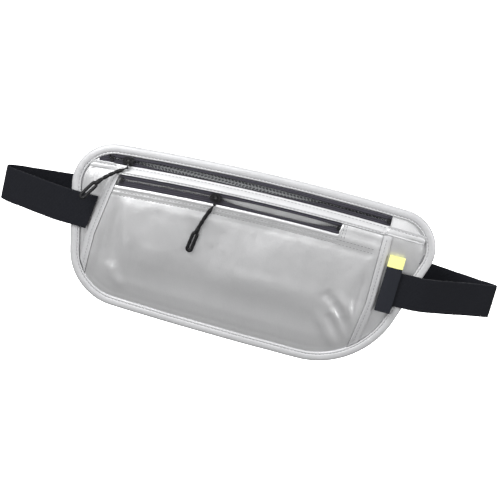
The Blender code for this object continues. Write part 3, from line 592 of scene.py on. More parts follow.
silver = silver_material("silver_satin", (0.86, 0.862, 0.868), (0.74, 0.742, 0.752), 0.4)
silver_trim = silver_material(
    "silver_binding", (0.6, 0.602, 0.61), (0.44, 0.442, 0.452), 0.35, roughness=(0.46, 0.6), metallic=0.3)
silver_welt = silver_material(
    "silver_welt", (0.72, 0.722, 0.73), (0.56, 0.562, 0.572), 0.45, roughness=(0.4, 0.54), metallic=0.5)
tape = tape_material()
webbing = webbing_material()
plastic = moulded_material(
    "moulded_plastic", 0.45, [(0.008, 0.008, 0.009), (0.02, 0.02, 0.021)], (0.36, 0.56),
    grain=(0.35, 0.05, 0.35), smudge=(6.0, 6.0, 0.04, 0.2), IOR=1.48)
nylon = moulded_material(
    "coil_nylon", 0.62, [(0.002, 0.002, 0.0025), (0.006, 0.006, 0.007)], (0.55, 0.7),
    grain=(0.3, 0.03, 0.4), smudge=(2.0, 3.0), Specular_IOR_Level=0.04)
rubber = moulded_material(
    "pull_rubber", 0.5, [(0.003, 0.003, 0.0035), (0.01, 0.01, 0.011)], (0.38, 0.6),
    grain=(0.3, 0.04, 0.4), smudge=(3.0, 3.0), Specular_IOR_Level=0.2)
metal = metal_material()
lining = lining_material()
grey_thread = thread_material("grey_thread", (0.3, 0.3, 0.31), (0.13, 0.13, 0.14))
black_thread = thread_material("black_thread", (0.05, 0.05, 0.055), (0.015, 0.015, 0.017))
tab_dark = ribbon_material("ribbon_slate", (0.014, 0.016, 0.024), (0.004, 0.005, 0.009))
tab_pale = ribbon_material("ribbon_yellow", (0.97, 0.95, 0.42), (0.88, 0.85, 0.28))


# ---- fabric of the pouch

# Folds and ridges are (start, end, half width, height outwards). Swells and hollows are (centre, half
# widths, height).
FRONT_FOLDS = [
    ((-106.0, 22.0), (-100.0, -40.0), 3.0, -1.2),
    ((-97.0, 24.0), (-90.0, -44.0), 3.4, 0.8),
    ((-86.0, 4.0), (-80.0, -50.0), 4.5, -0.8),
    ((-60.0, 26.0), (-68.0, -40.0), 9.0, 0.6),
    ((-20.0, 16.0), (-30.0, -50.0), 10.0, -0.9),
    ((24.0, 24.0), (4.0, -24.0), 9.0, 0.6),
    ((69.0, -9.0), (80.0, -17.0), 2.8, -1.6),
    ((79.0, -16.0), (88.0, -25.0), 2.8, -2.4),
    ((87.0, -24.0), (99.0, -43.0), 2.8, -2.4),
    ((77.0, -27.0), (84.0, -36.0), 2.4, -1.8),
    ((83.0, -35.0), (97.0, -51.0), 2.4, -2.4),
    ((79.0, -22.0), (94.0, -43.0), 2.2, 1.6),
    ((72.0, -28.0), (90.0, -56.0), 2.2, -1.6),
    ((82.0, 8.0), (94.0, -30.0), 3.4, 0.9),
    ((97.0, 14.0), (97.0, -26.0), 2.4, -1.2),
    ((30.0, -46.0), (70.0, -42.0), 4.0, 0.7),
    ((-104.0, -36.0), (-66.0, -56.0), 3.2, -1.0),
    ((-96.0, 28.0), (-64.0, 14.0), 4.5, -0.6),
    ((-84.0, 26.0), (-20.0, 24.0), 4.0, 0.5),
]
BILLOW_Z, BILLOW_REACH, BILLOW_FALL, BILLOW_LIMIT = 8.0, 36.0, 2.4, 1.6
FRONT_SWELLS = [((34.0, -19.0), (50.0, 11.0), 1.9), ((-84.0, -6.0), (16.0, 22.0), 1.3)]
FRONT_RIDGES = [
    ((82.0, -8.0), (102.0, -36.0), 3.2, 1.6),
    ((77.0, -19.0), (98.0, -47.0), 2.5, 1.4),
    ((68.0, -27.0), (90.0, -54.0), 3.4, 2.0),
    ((-104.0, -30.0), (-88.0, -50.0), 3.2, 1.2),
]
FRONT_HOLLOWS = [
    ((34.0, -50.0), (48.0, 17.0), 4.2),
    ((-56.0, -52.0), (38.0, 14.0), 2.4),
    ((-104.0, -30.0), (9.0, 20.0), 1.5),
]
WRINKLE_CAP, PULL_AREA_CAP, LOWER_CAP_RISE = 0.35, 0.3, 2.0


def front_wrinkles(x, z):
    """Soft billows and folds of the front panel, in millimetres outwards."""
    lift = 1.0 * noise_field(x, z, 46.0, 36.0, 1.7)
    lift += 0.6 * noise_field(x + 0.4 * z, z, 19.0, 30.0, 5.1)
    lift += 0.12 * noise_field(x, z, 6.0, 7.0, 9.3)
    lift += sum(crease(x, z, *fold) for fold in FRONT_FOLDS)
    lift = soft_minimum(lift, WRINKLE_CAP)
    lift -= BILLOW_FALL * np.minimum(((z - BILLOW_Z) / BILLOW_REACH) ** 2, BILLOW_LIMIT)
    lift -= mounds(x, z, FRONT_HOLLOWS)
    room = np.maximum(front_depth(x, z) - middle_depth(x, z) - 1.0, 0.05)
    lift = np.where(lift < 0.0, -room * np.tanh(-lift / room), lift)
    lift += mounds(x, z, FRONT_SWELLS)
    lift += sum(crease(x, z, *ridge) for ridge in FRONT_RIDGES)
    # The fabric stays low where the front pull hangs, and may rise more below it.
    lift = soft_minimum(lift, PULL_AREA_CAP + LOWER_CAP_RISE * smooth_step(0.0, 24.0, -4.0 - z))
    near = smooth_step(2.0, 12.0, level_z(x, FRONT_TOP_LEVEL) - z)
    edge = smooth_step(8.0, 13.0, edge_distance(x, z))
    left, right = x - edge_x(LEFT_HEM_INNER, z), edge_x(RIGHT_HEM_INNER, z) - x
    sides = smooth_step(0.0, 9.0, left) * smooth_step(0.0, 9.0, right)
    return lift * (0.15 + 0.85 * near) * edge * (0.25 + 0.75 * sides)


FRONT_STEP_SHARES, FRONT_STEP_X = (0.8095, 0.8115), 69.4
FRONT_RIM, HEM_OVERLAP, SHOULDER_DROP = 1.9, 0.35, 2.6


def make_front_panel():
    """The pocket's front, which reaches higher past the right end of the front zip."""
    before_step, after_step = FRONT_STEP_SHARES
    shares = np.concatenate([np.linspace(0.0, before_step, 150), np.linspace(after_step, 1.0, 36)])

    def across(share, z):
        left, right = edge_x(LEFT_HEM_INNER, z) + HEM_OVERLAP, edge_x(RIGHT_HEM_INNER, z) - HEM_OVERLAP
        return left + (right - left) * share

    bottom = reach_edge(lambda z: (across(shares, z), z), 0.0, -80.0, FRONT_RIM)
    x_top = across(shares, 42.0)
    shoulder = level_z(x_top, FRONT_TOP_LEVEL - SHOULDER_DROP)
    top = level_z(x_top, np.where(x_top < FRONT_STEP_X, FRONT_TOP_LEVEL, POCKET_TOP_LEVEL))
    lower = between(bottom, shoulder, [0.0, 0.004, *np.linspace(0.02, 1.0, 84)])
    z = np.concatenate([lower, between(shoulder, top, (0.2, 0.4, 0.6, 0.8, 0.97, 1.0))], axis=1)
    x = across(shares[:, None], z)
    y = -(front_depth(x, z) + PANEL_THICK) - front_wrinkles(x, z)
    below = top[:, None] - z
    y -= 0.35 * bell(below, 1.6, 1.1)
    y += 0.25 * bell(below, 3.4, 0.5) + 0.22 * bell(below, 7.4, 0.6)
    y -= 0.14 * bell(below, 5.4, 1.3) * (1.0 + noise_field(x, z, 4.0, 8.0, 3.3))
    return finish_sheet("front_panel_fabric", x, y, z, silver, "front_panel")


MIDDLE_CUTS, MIDDLE_CUT_GAP, MIDDLE_TOP_LEVEL = (-122.5, 106.5), 0.05, 55.0
MIDDLE_END_INSET, MIDDLE_RIM = 2.3, 1.8


def make_middle_panel():
    """The sheet behind the pocket: its two ends, and the lower part between them."""
    left_tip, right_tip = OUTLINE[np.argmin(OUTLINE[:, 0])], OUTLINE[np.argmax(OUTLINE[:, 0])]
    left_cut, right_cut = MIDDLE_CUTS
    runs = [
        ("left", left_tip[0] + MIDDLE_END_INSET, left_cut, 30, left_tip[1]),
        ("right", right_cut, right_tip[0] - MIDDLE_END_INSET, 30, right_tip[1]),
        ("middle", left_cut + MIDDLE_CUT_GAP, right_cut - MIDDLE_CUT_GAP, 90, left_tip[1]),
    ]
    parts = []
    for word, x0, x1, count, tip in runs:
        x = np.linspace(x0, x1, count)
        start = np.where(np.abs(x) > 111.0, tip * smooth_step(111.0, 142.0, np.abs(x)), 0.0)
        bottom = reach_edge(lambda z: (x, z), start, -80.0, MIDDLE_RIM)
        if word == "middle":
            top = level_z(x, MIDDLE_TOP_LEVEL)
        else:
            top = reach_edge(lambda z: (x, z), start, 80.0, MIDDLE_RIM)
        z = between(bottom, top, [0.0, 0.005, *np.linspace(0.02, 0.98, 60), 0.995, 1.0])
        x = x[:, None]
        ripple = 0.45 * noise_field(x, z, 14.0, 22.0, 4.4) + 0.2 * noise_field(x, z, 5.0, 9.0, 6.1)
        inside = smooth_step(8.5, 18.0, edge_distance(x, z))
        y = -(middle_depth(x, z) + PANEL_THICK) + (0.22 + ripple * 0.5) * inside
        parts.append(finish_sheet(f"middle_panel_{word}", x, y, z, silver, "middle_panel"))
    return parts


# The back panel's and the binding's sections are (distance inside the outline, y).
BACK_PROFILE = [
    (1.8, -0.95), (6.0, -0.95), (8.0, -0.75), (8.35, -0.35), (8.7, -0.02), (9.6, 0.0), (12.0, 0.0),
]
BACK_INNER_Y = -1.6


def make_back_panel():
    """The mesh-lined waist side: a flat face that turns in under the binding."""
    mesh = bmesh.new()
    centre = OUTLINE.mean(axis=0)

    def ring(places, y):
        return [mesh.verts.new((x, y, z)) for x, z in places]

    def fan(rim, y):
        hub = mesh.verts.new((centre[0], y, centre[1]))
        for i, vert in enumerate(rim):
            mesh.faces.new((vert, rim[(i + 1) % len(rim)], hub))

    rings = [ring(OUTLINE + INWARD * d, y) for d, y in BACK_PROFILE]
    base = OUTLINE + INWARD * BACK_PROFILE[-1][0]
    rings += [ring(base + (centre - base) * share, 0.0) for share in (0.12, 0.3, 0.5, 0.7, 0.88)]
    bridge(mesh, rings)
    fan(rings[-1], 0.0)
    inside = ring(OUTLINE + INWARD * BACK_PROFILE[0][0], BACK_INNER_Y)
    bridge(mesh, [rings[0], inside])
    fan(inside, BACK_INNER_Y)
    return finish_piece("back_panel_mesh", mesh, lining, nodes=["back_panel"])


BINDING_DEPTH, BINDING_PITCH, BINDING_STITCHES_IN = 5.0, 1.3, 6.0
BINDING_FRONT = [
    (7.5, -4.72), (7.35, -4.98), (6.7, -5.08), (6.2, -4.95), (5.9, -4.74), (5.6, -4.95), (4.8, -5.14),
    (3.4, -5.18), (2.2, -5.06), (1.2, -4.72), (0.5, -4.15), (0.12, -3.4), (0.0, -2.5),
]
BINDING_INSIDE = [(7.5, -0.75), (1.5, -0.75), (1.5, -4.25), (7.5, -4.25)]


def make_binding():
    """Folded tape all round: puckered between its stitches, with a rounded outer fold."""
    rear = []
    for d, y in reversed(BINDING_FRONT[:-1]):
        mirrored = -BINDING_DEPTH - y
        rear.append((d, min(max(mirrored, -0.35) if d > 6.0 else mirrored, -0.06)))
    rim = np.hstack([OUTLINE, INWARD])
    sections = []
    for here, following in zip(rim, np.roll(rim, -1, axis=0)):
        steps = max(1, int(round(np.hypot(*(following - here)[:2]) / BINDING_PITCH)))
        for k in range(steps):
            x, z, in_x, in_z = here + (following - here) * k / steps
            pucker = noise_at(x / 3.4, z / 3.4, 2.2) * 0.16 + noise_at(x / 9.0, z / 9.0, 7.7) * 0.14
            sway = noise_at(x / 21.0, z / 21.0, 5.5) * 0.25
            section = []
            for d, y in BINDING_FRONT + rear + BINDING_INSIDE:
                bulge = pucker * math.exp(-(((d - 3.6) / 2.0) ** 2)) * (1.0 if y < -2.5 else -0.4)
                offset = d + sway * (0.4 if d < 7.0 else 0.8)
                section.append((x + in_x * offset, y - bulge, z + in_z * offset))
            sections.append(section)
    piece = finish_piece("edge_binding_tape", loft(sections, ring=True), silver_trim,
                         nodes=["edge_binding"], sharp=60.0)
    stitch_row = OUTLINE + INWARD * BINDING_STITCHES_IN
    return piece, np.vstack([stitch_row, stitch_row[:1]])


# A hem's front is (share of its width, height, share of the waviness) from its outer to its inner edge,
# and its back is the shares on the way there again.
HEM_FRONT = [(0.0, 0.3, 0), (0.06, 0.85, 0), (0.2, 1.05, 1), (0.42, 1.1, 1), (0.56, 0.86, 0), (0.7, 1.1, 1),
             (0.86, 1.05, 0), (0.96, 0.85, 0), (1.0, 0.35, 0)]
HEM_BACK = (0.0, 0.04, 0.14, 0.3, 0.5, 0.7, 0.86, 0.96, 1.0)
HEM_ROWS, HEM_STITCH_COLUMN = 70, 4
SEAM_GAP = 0.3


def make_hem(name, inner_edge, outer_edge, seed):
    """The folded seam down one side of the front pocket, and the (x, z) row of its stitches."""
    edges = (outer_edge, inner_edge)
    least = BINDING_WIDTH + SEAM_GAP
    tops = [level_z(edge_x(edge, 40.0), POCKET_TOP_LEVEL) for edge in edges]
    bottoms = [reach_edge(lambda z: (edge_x(edge, z), z), 0.0, -80.0, least) for edge in edges]
    sections = []
    for t in np.arange(HEM_ROWS + 1) / HEM_ROWS:
        ends = []
        for edge, top, bottom in zip(edges, tops, bottoms):
            z = top + (bottom - top) * t
            x = edge_x(edge, z)
            depth = middle_depth(x, z) + PANEL_THICK + 0.35
            if edge is inner_edge:
                depth = max(depth, front_depth(x, z))
            ends.append(np.array([x, -depth, z]))
        outer, inner = ends
        wave = 0.12 * noise_at(outer[2] / 6.0, 1.0, seed) + 0.08
        section = []
        for s, height, waviness in HEM_FRONT:
            section.append(outer + (inner - outer) * s + np.array([0.0, -(height + wave * waviness), 0.0]))
        sections.append(section + [inner + (outer - inner) * s for s in HEM_BACK])
    mesh = loft(sections)
    piece = finish_piece(name + "_fold", mesh, silver_trim, nodes=[name], sharp=60.0)
    return piece, [section[HEM_STITCH_COLUMN][[0, 2]] for section in sections[2:-2]]


STRIP_LEVELS = np.array([
    49.0, 49.15, 49.6, 50.1, 50.6, 51.0, 51.5, 52.2, 52.9, 53.5, 54.0, 54.6, 55.2, 55.75, 55.9,
])
STRIP_KNEE_DEPTH, STRIP_TOP_DEPTH, STRIP_LEAST_DEPTH = 11.3, 6.7, 6.45
STRIP_ENDS, STRIP_RAMP = (-121.0, 112.0), 11.0


def make_zip_strip():
    """The welt between the zips: it stands out above the front zip and slopes back to the rear one."""
    runs = (-134.5, -105.0, 40), (-104.0, 98.0, 130), (99.0, 136.0, 46)
    x = np.concatenate([np.linspace(*run) for run in runs])
    roof = reach_edge(lambda z: (x, z), 30.0, 80.0, BINDING_WIDTH + SEAM_GAP)[:, None]
    x, level = x[:, None], STRIP_LEVELS
    z = np.minimum(level_z(x, level), roof - 0.2 * (STRIP_TOP_LEVEL - level))
    t = np.clip((level - STRIP_KNEE_LEVEL) / (STRIP_TOP_LEVEL - STRIP_KNEE_LEVEL), 0.0, 1.0)
    ramp = np.minimum((x - STRIP_ENDS[0]) / STRIP_RAMP, (STRIP_ENDS[1] - x) / STRIP_RAMP)
    raised = STRIP_KNEE_DEPTH * smooth_step(0.0, 1.0, ramp) * (1.0 - t) + STRIP_TOP_DEPTH * t
    base = middle_depth(x, z) + PANEL_THICK + 0.55
    depth = np.maximum(np.maximum(base, raised), STRIP_LEAST_DEPTH * (level >= STRIP_KNEE_LEVEL))
    puff = 0.16 * bell(level, 52.4, 1.2) - 0.2 * bell(level, 54.3, 0.4) - 0.2 * bell(level, 50.1, 0.4)
    ripple = 0.16 * noise_field(x, level, 5.0, 9.0, 8.2) * ((level > 49.5) & (level < 55.0))
    y = -(depth + PANEL_THICK + puff + ripple)
    return finish_sheet("zip_strip_fabric", x, y, z, silver_welt, "zip_strip")


# ---- zips


TAPE_THICK = 0.5
REAR_TAPE_START, REAR_LIP_START, REAR_LIP_END = -129.0, -121.9, -121.3
TUCK_START, TUCK_END, TUCK_REACH, TUCK_DEPTH = -118.0, -113.0, 2.7, 3.95


def arc_place(x, level, y):
    """A place (x, y, z) on a level of the zips' arc."""
    px, pz = arc_point(x, level)
    return px, y, pz


def flat_tape(lip, far, front, rear):
    """Corners of a flat tape from its lip to its far edge, with a corded lip."""
    side = 1.0 if far > lip else -1.0
    levels = [lip + side * reach for reach in (0.0, 0.18, 0.75, 1.05, 1.6)] + [far - side * 0.1, far]
    fronts = [front + 0.22, front - 0.02, front - 0.06, front + 0.04, front, front, front + 0.1]
    return list(zip(levels, fronts)) + [(level, rear) for level in reversed(levels)]


def tucked_tape(x, lip, roof, front, rear):
    """Corners of the rear zip's upper tape, whose far edge steps back to tuck in under the binding."""
    share = smooth_step(TUCK_START, TUCK_END, x)
    bend, fold = roof - 0.85, roof - 0.35
    top = roof + TUCK_REACH if x > TUCK_END else fold + 0.1
    back = front + share * (REAR_ZIP["depth"] - TUCK_DEPTH)
    thin = 0.3 * share
    fronts = [(lip, front + 0.22), (lip + 0.12, front - 0.02), (lip + 0.5, front - 0.06), (bend, front),
              ((bend + fold) / 2 + 0.1, (front + back) / 2 - 0.15), (fold, back), (top, back)]
    rears = [(top, back + TAPE_THICK), (fold - thin, back + TAPE_THICK),
             ((bend + fold) / 2 - thin, (rear + back + TAPE_THICK) / 2), (bend - thin, rear),
             (lip + 0.5, rear), (lip + 0.12, rear), (lip, rear - 0.05)]
    return fronts + rears


def make_tapes(prefix, zipper):
    """Both woven tapes of a zip. The rear zip's run up to the binding at their left end."""
    front = -zipper["depth"]
    rear = front + TAPE_THICK
    start, end = zipper["ends"]
    upper_xs = lower_xs = np.linspace(start, end, 150)
    if prefix == "rear":
        lower_xs = np.concatenate([np.linspace(REAR_TAPE_START, start + 0.9, 24), upper_xs[1:]])
        upper_xs = upper_xs[upper_xs > start + 1.0]
    roofs = dict(zip(lower_xs, binding_level(lower_xs)))

    def lower(x):
        lip = min(lip_level(zipper, x, -1), roofs[x] - 0.4)
        if prefix == "rear":
            lip += (roofs[x] - 0.1 - lip) * (1.0 - smooth_step(REAR_LIP_START, REAR_LIP_END, x))
        return flat_tape(lip, zipper["lowest"], front, rear)

    def upper(x):
        lip = lip_level(zipper, x, 1)
        if prefix == "rear":
            return tucked_tape(x, lip, roofs[x], front, rear)
        return flat_tape(lip, FRONT_TAPE_TOP, front, rear)

    for word, xs, corners in (("lower", lower_xs, lower), ("upper", upper_xs, upper)):
        sections = [[arc_place(x, level, y) for level, y in corners(x)] for x in xs]
        node = f"{prefix}_zip_{word}_tape"
        finish_piece(node + "_woven", loft(sections), tape, nodes=[node])


COIL_PITCH, COIL_BEHIND = 1.35, 1.15
TOOTH_PATH = [(-0.35, 0.0), (0.0, 0.26), (0.35, 0.3), (0.7, 0.22)]
TOOTH_RADII = [0.34, 0.36, 0.32, 0.26, 0.18]


def make_teeth(prefix, zipper):
    """Coil teeth behind the lips: short bent bars that interleave where the zip is shut."""
    middle = COIL_BEHIND - zipper["depth"]
    start, end = zipper["ends"]
    for side, word in ((-1, "lower"), (1, "upper")):
        mesh = bmesh.new()
        for x in np.arange(start + 1.2 + (COIL_PITCH / 2 if side > 0 else 0.0), end - 1.0, COIL_PITCH):
            lip = lip_level(zipper, x, side)
            path = [arc_place(x, lip + side * reach, middle - y + 0.12) for reach, y in TOOTH_PATH]
            path.append((path[-1][0], middle + 0.2, path[-1][2]))
            add_tube(mesh, path, TOOTH_RADII)
        xs = np.linspace(start + 1.0, end - 1.0, 120)
        cord = [arc_place(x, lip_level(zipper, x, side) + side * 0.55, middle + 0.05) for x in xs]
        add_tube(mesh, cord, 0.26)
        name = f"{prefix}_zip_{word}_"
        finish_piece(name + "teeth", mesh, nylon, nodes=[name + "coil"])


def slider_frame(zipper):
    """The middle of a slider's front, turned with the arc."""
    x, z = arc_point(zipper["slider"], zipper["level"])
    angle = (zipper["slider"] - ARC_X) / (ARC_RADIUS + zipper["level"])
    return Matrix.Translation((x, -zipper["depth"], z)) @ Matrix.Rotation(angle, 4, "Y")


GRIP_HALF_WIDTH, GRIP_RADIUS, STEM_RADIUS, PULL_FLATNESS = 1.75, 1.35, 1.25, 0.8
STEM_TURNS, STEM_TURN, STEM_TOP = 15, 0.9, -5.0
GRIP_ARC, GRIP_SIDE = 13, 8


def make_pull(prefix, zipper, lift, swing, bow):
    """Cord stem knotted through the link, and a moulded eye-shaped grip."""
    place = slider_frame(zipper) @ Matrix.Translation((0.0, -BRIDGE_REACH, 0.0))
    place = place @ Matrix.Rotation(math.radians(-lift), 4, "X")
    place = place @ Matrix.Translation((0.0, 0.0, -LINK_LENGTH))
    place = place @ Matrix.Rotation(math.radians(swing), 4, "Y")
    mesh = bmesh.new()
    top, bottom = -PULL_STEM_END, -PULL_END
    eye_top = top + GRIP_HALF_WIDTH
    for side in (-1.0, 1.0):
        stem = [(0.0, 1.0 * side, 0.6), (0.0, 1.02 * side, -1.2), (0.0, 0.8 * side, -2.6)]
        for k in range(STEM_TURNS):
            turn = side * math.pi / 2 + k * STEM_TURN
            z = STEM_TOP + (eye_top + 1.6 - STEM_TOP) * k / (STEM_TURNS - 1)
            stem.append((0.35 * math.cos(turn), 0.35 * math.sin(turn), z))
        add_tube(mesh, stem, [0.34, 0.42, 0.7] + [STEM_RADIUS] * STEM_TURNS, 8)
    for start, end, wide in ((-4.6, -7.8, 1.6), (eye_top + 4.6, eye_top - 0.4, 1.8)):
        collar = [(0.0, 0.0, start + (end - start) * t) for t in (0.0, 0.12, 0.5, 0.88, 1.0)]
        add_tube(mesh, collar, [wide * t for t in (0.7, 0.96, 1.0, 0.96, 0.75)], 14)
    eye = []
    for half_turns, here, there in ((0.0, top, bottom), (1.0, bottom, top)):
        for i in range(GRIP_ARC + 1):
            turn = math.pi * (half_turns + i / GRIP_ARC)
            eye.append((GRIP_HALF_WIDTH * math.cos(turn), 0.0, here + GRIP_HALF_WIDTH * math.sin(turn)))
        x = GRIP_HALF_WIDTH * (2.0 * half_turns - 1.0)
        eye += [(x, 0.0, here + (there - here) * i / GRIP_SIDE) for i in range(1, GRIP_SIDE)]
    add_tube(mesh, eye, GRIP_RADIUS, 10, ring=True)
    for vert in mesh.verts:
        share = min(1.0, max(0.0, vert.co.z / bottom))
        vert.co.x += bow * math.sin(math.pi * share)
        vert.co.y *= PULL_FLATNESS
    bmesh.ops.transform(mesh, matrix=place, verts=mesh.verts)
    name = prefix + "_pull"
    finish_piece(name + "_cord", mesh, rubber, name + "_body", [name], 60.0)


# ---- straps


# Strap paths are (x, y) places seen from above.
LEFT_STRAP = [
    (-123.5, -8.0), (-134.0, -7.0), (-145.0, -6.3), (-152.0, -5.5), (-165.0, -0.5), (-181.0, 6.2),
    (-195.0, 12.2), (-203.0, 18.5), (-198.0, 25.8), (-183.0, 32.0), (-165.0, 39.5), (-145.0, 47.0),
    (-115.0, 55.5), (-90.0, 60.5), (-72.0, 62.1),
]
LEFT_STRAP_RETURN = [(-59.5, 66.3), (-65.0, 64.3), (-72.0, 63.75), (-84.0, 62.9)]
RIGHT_STRAP = [
    (112.2, -7.9), (123.0, -7.4), (134.0, -6.5), (145.0, -5.2), (158.0, 1.2), (175.0, 11.8), (192.0, 22.0),
    (203.5, 28.6), (207.4, 31.9), (203.0, 34.6), (190.0, 37.4), (170.0, 44.2), (147.0, 52.6),
    (122.0, 58.9), (100.0, 60.75),
]
PLUG_STRAP_RETURN = [(12.0, 66.4), (17.5, 64.4), (23.0, 63.75), (28.5, 63.75)]
FRONT_RUN_Y, RETURN_RUN_Y = 62.25, 63.75


def smooth_path(points, steps=8):
    """A curve through points, with this many steps between two of them."""
    path, padded = [], [points[0]] + points + [points[-1]]
    for i in range(1, len(padded) - 2):
        p0, p1, p2, p3 = (Vector(p) for p in padded[i - 1 : i + 3])
        for k in range(steps):
            t = k / steps
            bend = (2.0 * p0 - 5.0 * p1 + 4.0 * p2 - p3) * t**2
            twist = (3.0 * p1 - p0 - 3.0 * p2 + p3) * t**3
            path.append(tuple((2.0 * p1 + (p2 - p0) * t + bend + twist) / 2.0))
    return path + [points[-1]]


def bar_loop(bar_x, side):
    """The half turn that a strap makes round a buckle's bar."""
    turns = [math.pi * (i / 14 - 0.5) for i in range(15)]
    return [(bar_x + side * (0.9 + BAR_LOOP_RADIUS * math.cos(t)),
             BUCKLE_MIDDLE_Y + BAR_LOOP_RADIUS * math.sin(t)) for t in turns]


WEBBING_PITCH, ROOT_STEPS = 1.6, 8


def make_webbing(name, path, node, seed, body=POUCH, root=None):
    """A woven band on edge, slightly ribbed across its width; a root is an edge that it starts along."""
    path = np.array(path)
    length = lengths_along(path)[-1]
    path = points_at(path, np.linspace(0.0, length, int(length / WEBBING_PITCH)))
    heights = np.concatenate([[-1.0, -0.985, -0.95], np.linspace(-0.9, 0.9, 27), [0.95, 0.985, 1.0]])
    along = unit(np.gradient(path, axis=0))
    sections = []
    for i, ((x, y), (along_x, along_y)) in enumerate(zip(path, along)):
        ring = []
        for side in (-1.0, 1.0):
            for h in heights * -side:
                thick = STRAP_THICK / 2 * (1.0 - 0.55 * smooth_step(0.955, 1.0, abs(h)))
                thick -= 0.07 * smooth_step(0.8, 0.86, abs(h)) * (1.0 - smooth_step(0.9, 0.94, abs(h)))
                z = STRAP_MIDDLE_Z + STRAP_WIDTH / 2 * h
                out = side * thick + 0.12 * noise_at(i / 11.0, h * 1.4, seed)
                edge = 0.16 * noise_at(i / 6.0, math.copysign(3.0, h), seed) * abs(h) ** 8
                slant = 0.0
                if root is not None and i < ROOT_STEPS:
                    slant = (edge_x(root, z) - 1.4 - path[0][0]) * (1.0 - i / ROOT_STEPS)
                ring.append((x + slant - along_y * out, y + along_x * out, z + edge))
        sections.append(ring)
    finish_piece(name, loft(sections), webbing, body, [node], 60.0)


BOX_Z = (-5.0, 17.0)
BOX_PITCH, BOX_STITCH, BOX_RADIUS = 2.3, 1.8, 0.2


def make_box_stitches(name, x0, x1, y_at, body=POUCH):
    """A sewn box with a cross through it, on a strap's rear face, whose y is y_at(x)."""
    z0, z1 = BOX_Z
    corners = [(x0, z0), (x1, z0), (x1, z1), (x0, z1)]
    mesh = bmesh.new()
    for first, second in ((0, 1), (1, 2), (2, 3), (3, 0), (0, 2), (3, 1)):
        for place, direction in walk([corners[first], corners[second]], BOX_PITCH):
            path = []
            for t, sink in ((-0.5, 0.15), (-0.25, -0.1), (0.25, -0.1), (0.5, 0.15)):
                x, z = place + direction * BOX_STITCH * t
                path.append((x, y_at(x) - sink, z))
            add_tube(mesh, path, BOX_RADIUS)
    finish_piece(name, mesh, black_thread, body)


def make_straps():
    """Both straps, from the pouch round to the buckle, and the short tail on the plug."""
    path = smooth_path(LEFT_STRAP) + [(-62.0, FRONT_RUN_Y)] + bar_loop(SOCKET_BAR_X, 1) + LEFT_STRAP_RETURN
    make_webbing("left_strap_webbing", path, "left_strap", 1.3, root=LEFT_HEM_OUTER)
    path = smooth_path(RIGHT_STRAP) + [(33.5, RIGHT_STRAP[-1][1])]
    make_webbing("right_strap_webbing", path, "right_strap", 4.6)
    path = [(68.0, FRONT_RUN_Y), (12.0, FRONT_RUN_Y)] + bar_loop(PLUG_BAR_X, -1) + PLUG_STRAP_RETURN
    make_webbing("plug_webbing_tail", path, "plug_webbing", 8.1, "plug_body")

    def left_return(x):
        return RETURN_RUN_Y + 0.62 - (-72.0 - x) * 0.075 * (x < -72.0)

    make_box_stitches("left_strap_stitches", -82.0, -68.0, left_return)
    make_box_stitches("plug_webbing_stitches", 19.5, 27.5, lambda x: RETURN_RUN_Y + 0.67, "plug_body")


TAB_COLUMNS, TAB_ROWS, TAB_LEAN, TAB_INSET, TAB_PALE_HEIGHT = 26, 90, 0.012, 0.2, 9.2


def make_side_tab():
    """A ribbon folded in half over the pocket seam: slate with a pale yellow upper end."""
    (x0, y0, z0), (x1, y1, z1) = (np.array(corner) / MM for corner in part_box("side_tab"))
    shares = np.arange(TAB_COLUMNS + 1) / TAB_COLUMNS
    sections = []
    for j in range(TAB_ROWS + 1):
        z = z0 + (z1 - z0) * j / TAB_ROWS
        lean = (z - (z0 + z1) / 2) * TAB_LEAN
        x = x0 + TAB_INSET + (x1 - x0 - 2.0 * TAB_INSET) * shares + lean
        bows = [0.25 * noise_at(t * 2.0, z / 14.0, 3.0) * t - 0.35 * math.sin(math.pi * t) for t in shares]
        front = [(px, y0 - 0.1 + bow, z) for px, bow in zip(x, bows)]
        sections.append(front + [(px, y1 - 0.02, z) for px in x[::-1]])
    mesh = loft(sections)
    for face in mesh.faces:
        face.material_index = int(face.calc_center_median().z > z1 - TAB_PALE_HEIGHT)
    finish_piece("side_tab_ribbon", mesh, [tab_dark, tab_pale], nodes=["side_tab"], sharp=50.0)


# ---- put together


# Stitched rows are (level, first x, last x). The rows across the front zip's end are places x.
STITCHED_LEVELS = [(35.3, -107.0, 100.0), (31.9, -107.0, 100.0), (54.3, -128.0, 130.0), (50.1, -108.0, 100.0)]
ZIP_END_ROWS, ZIP_END_LEVELS = (71.2, 73.4), (36.8, 48.2)
BARTACK_COUNT, BARTACK_START, BARTACK_STEP = 16, (137.4, 30.0), (0.12, 0.55)
BARTACK_THREAD = [(-1.6, 0.1, 0.0), (-1.0, -0.16, 0.0), (1.0, -0.16, 0.2), (1.6, 0.1, 0.2)]


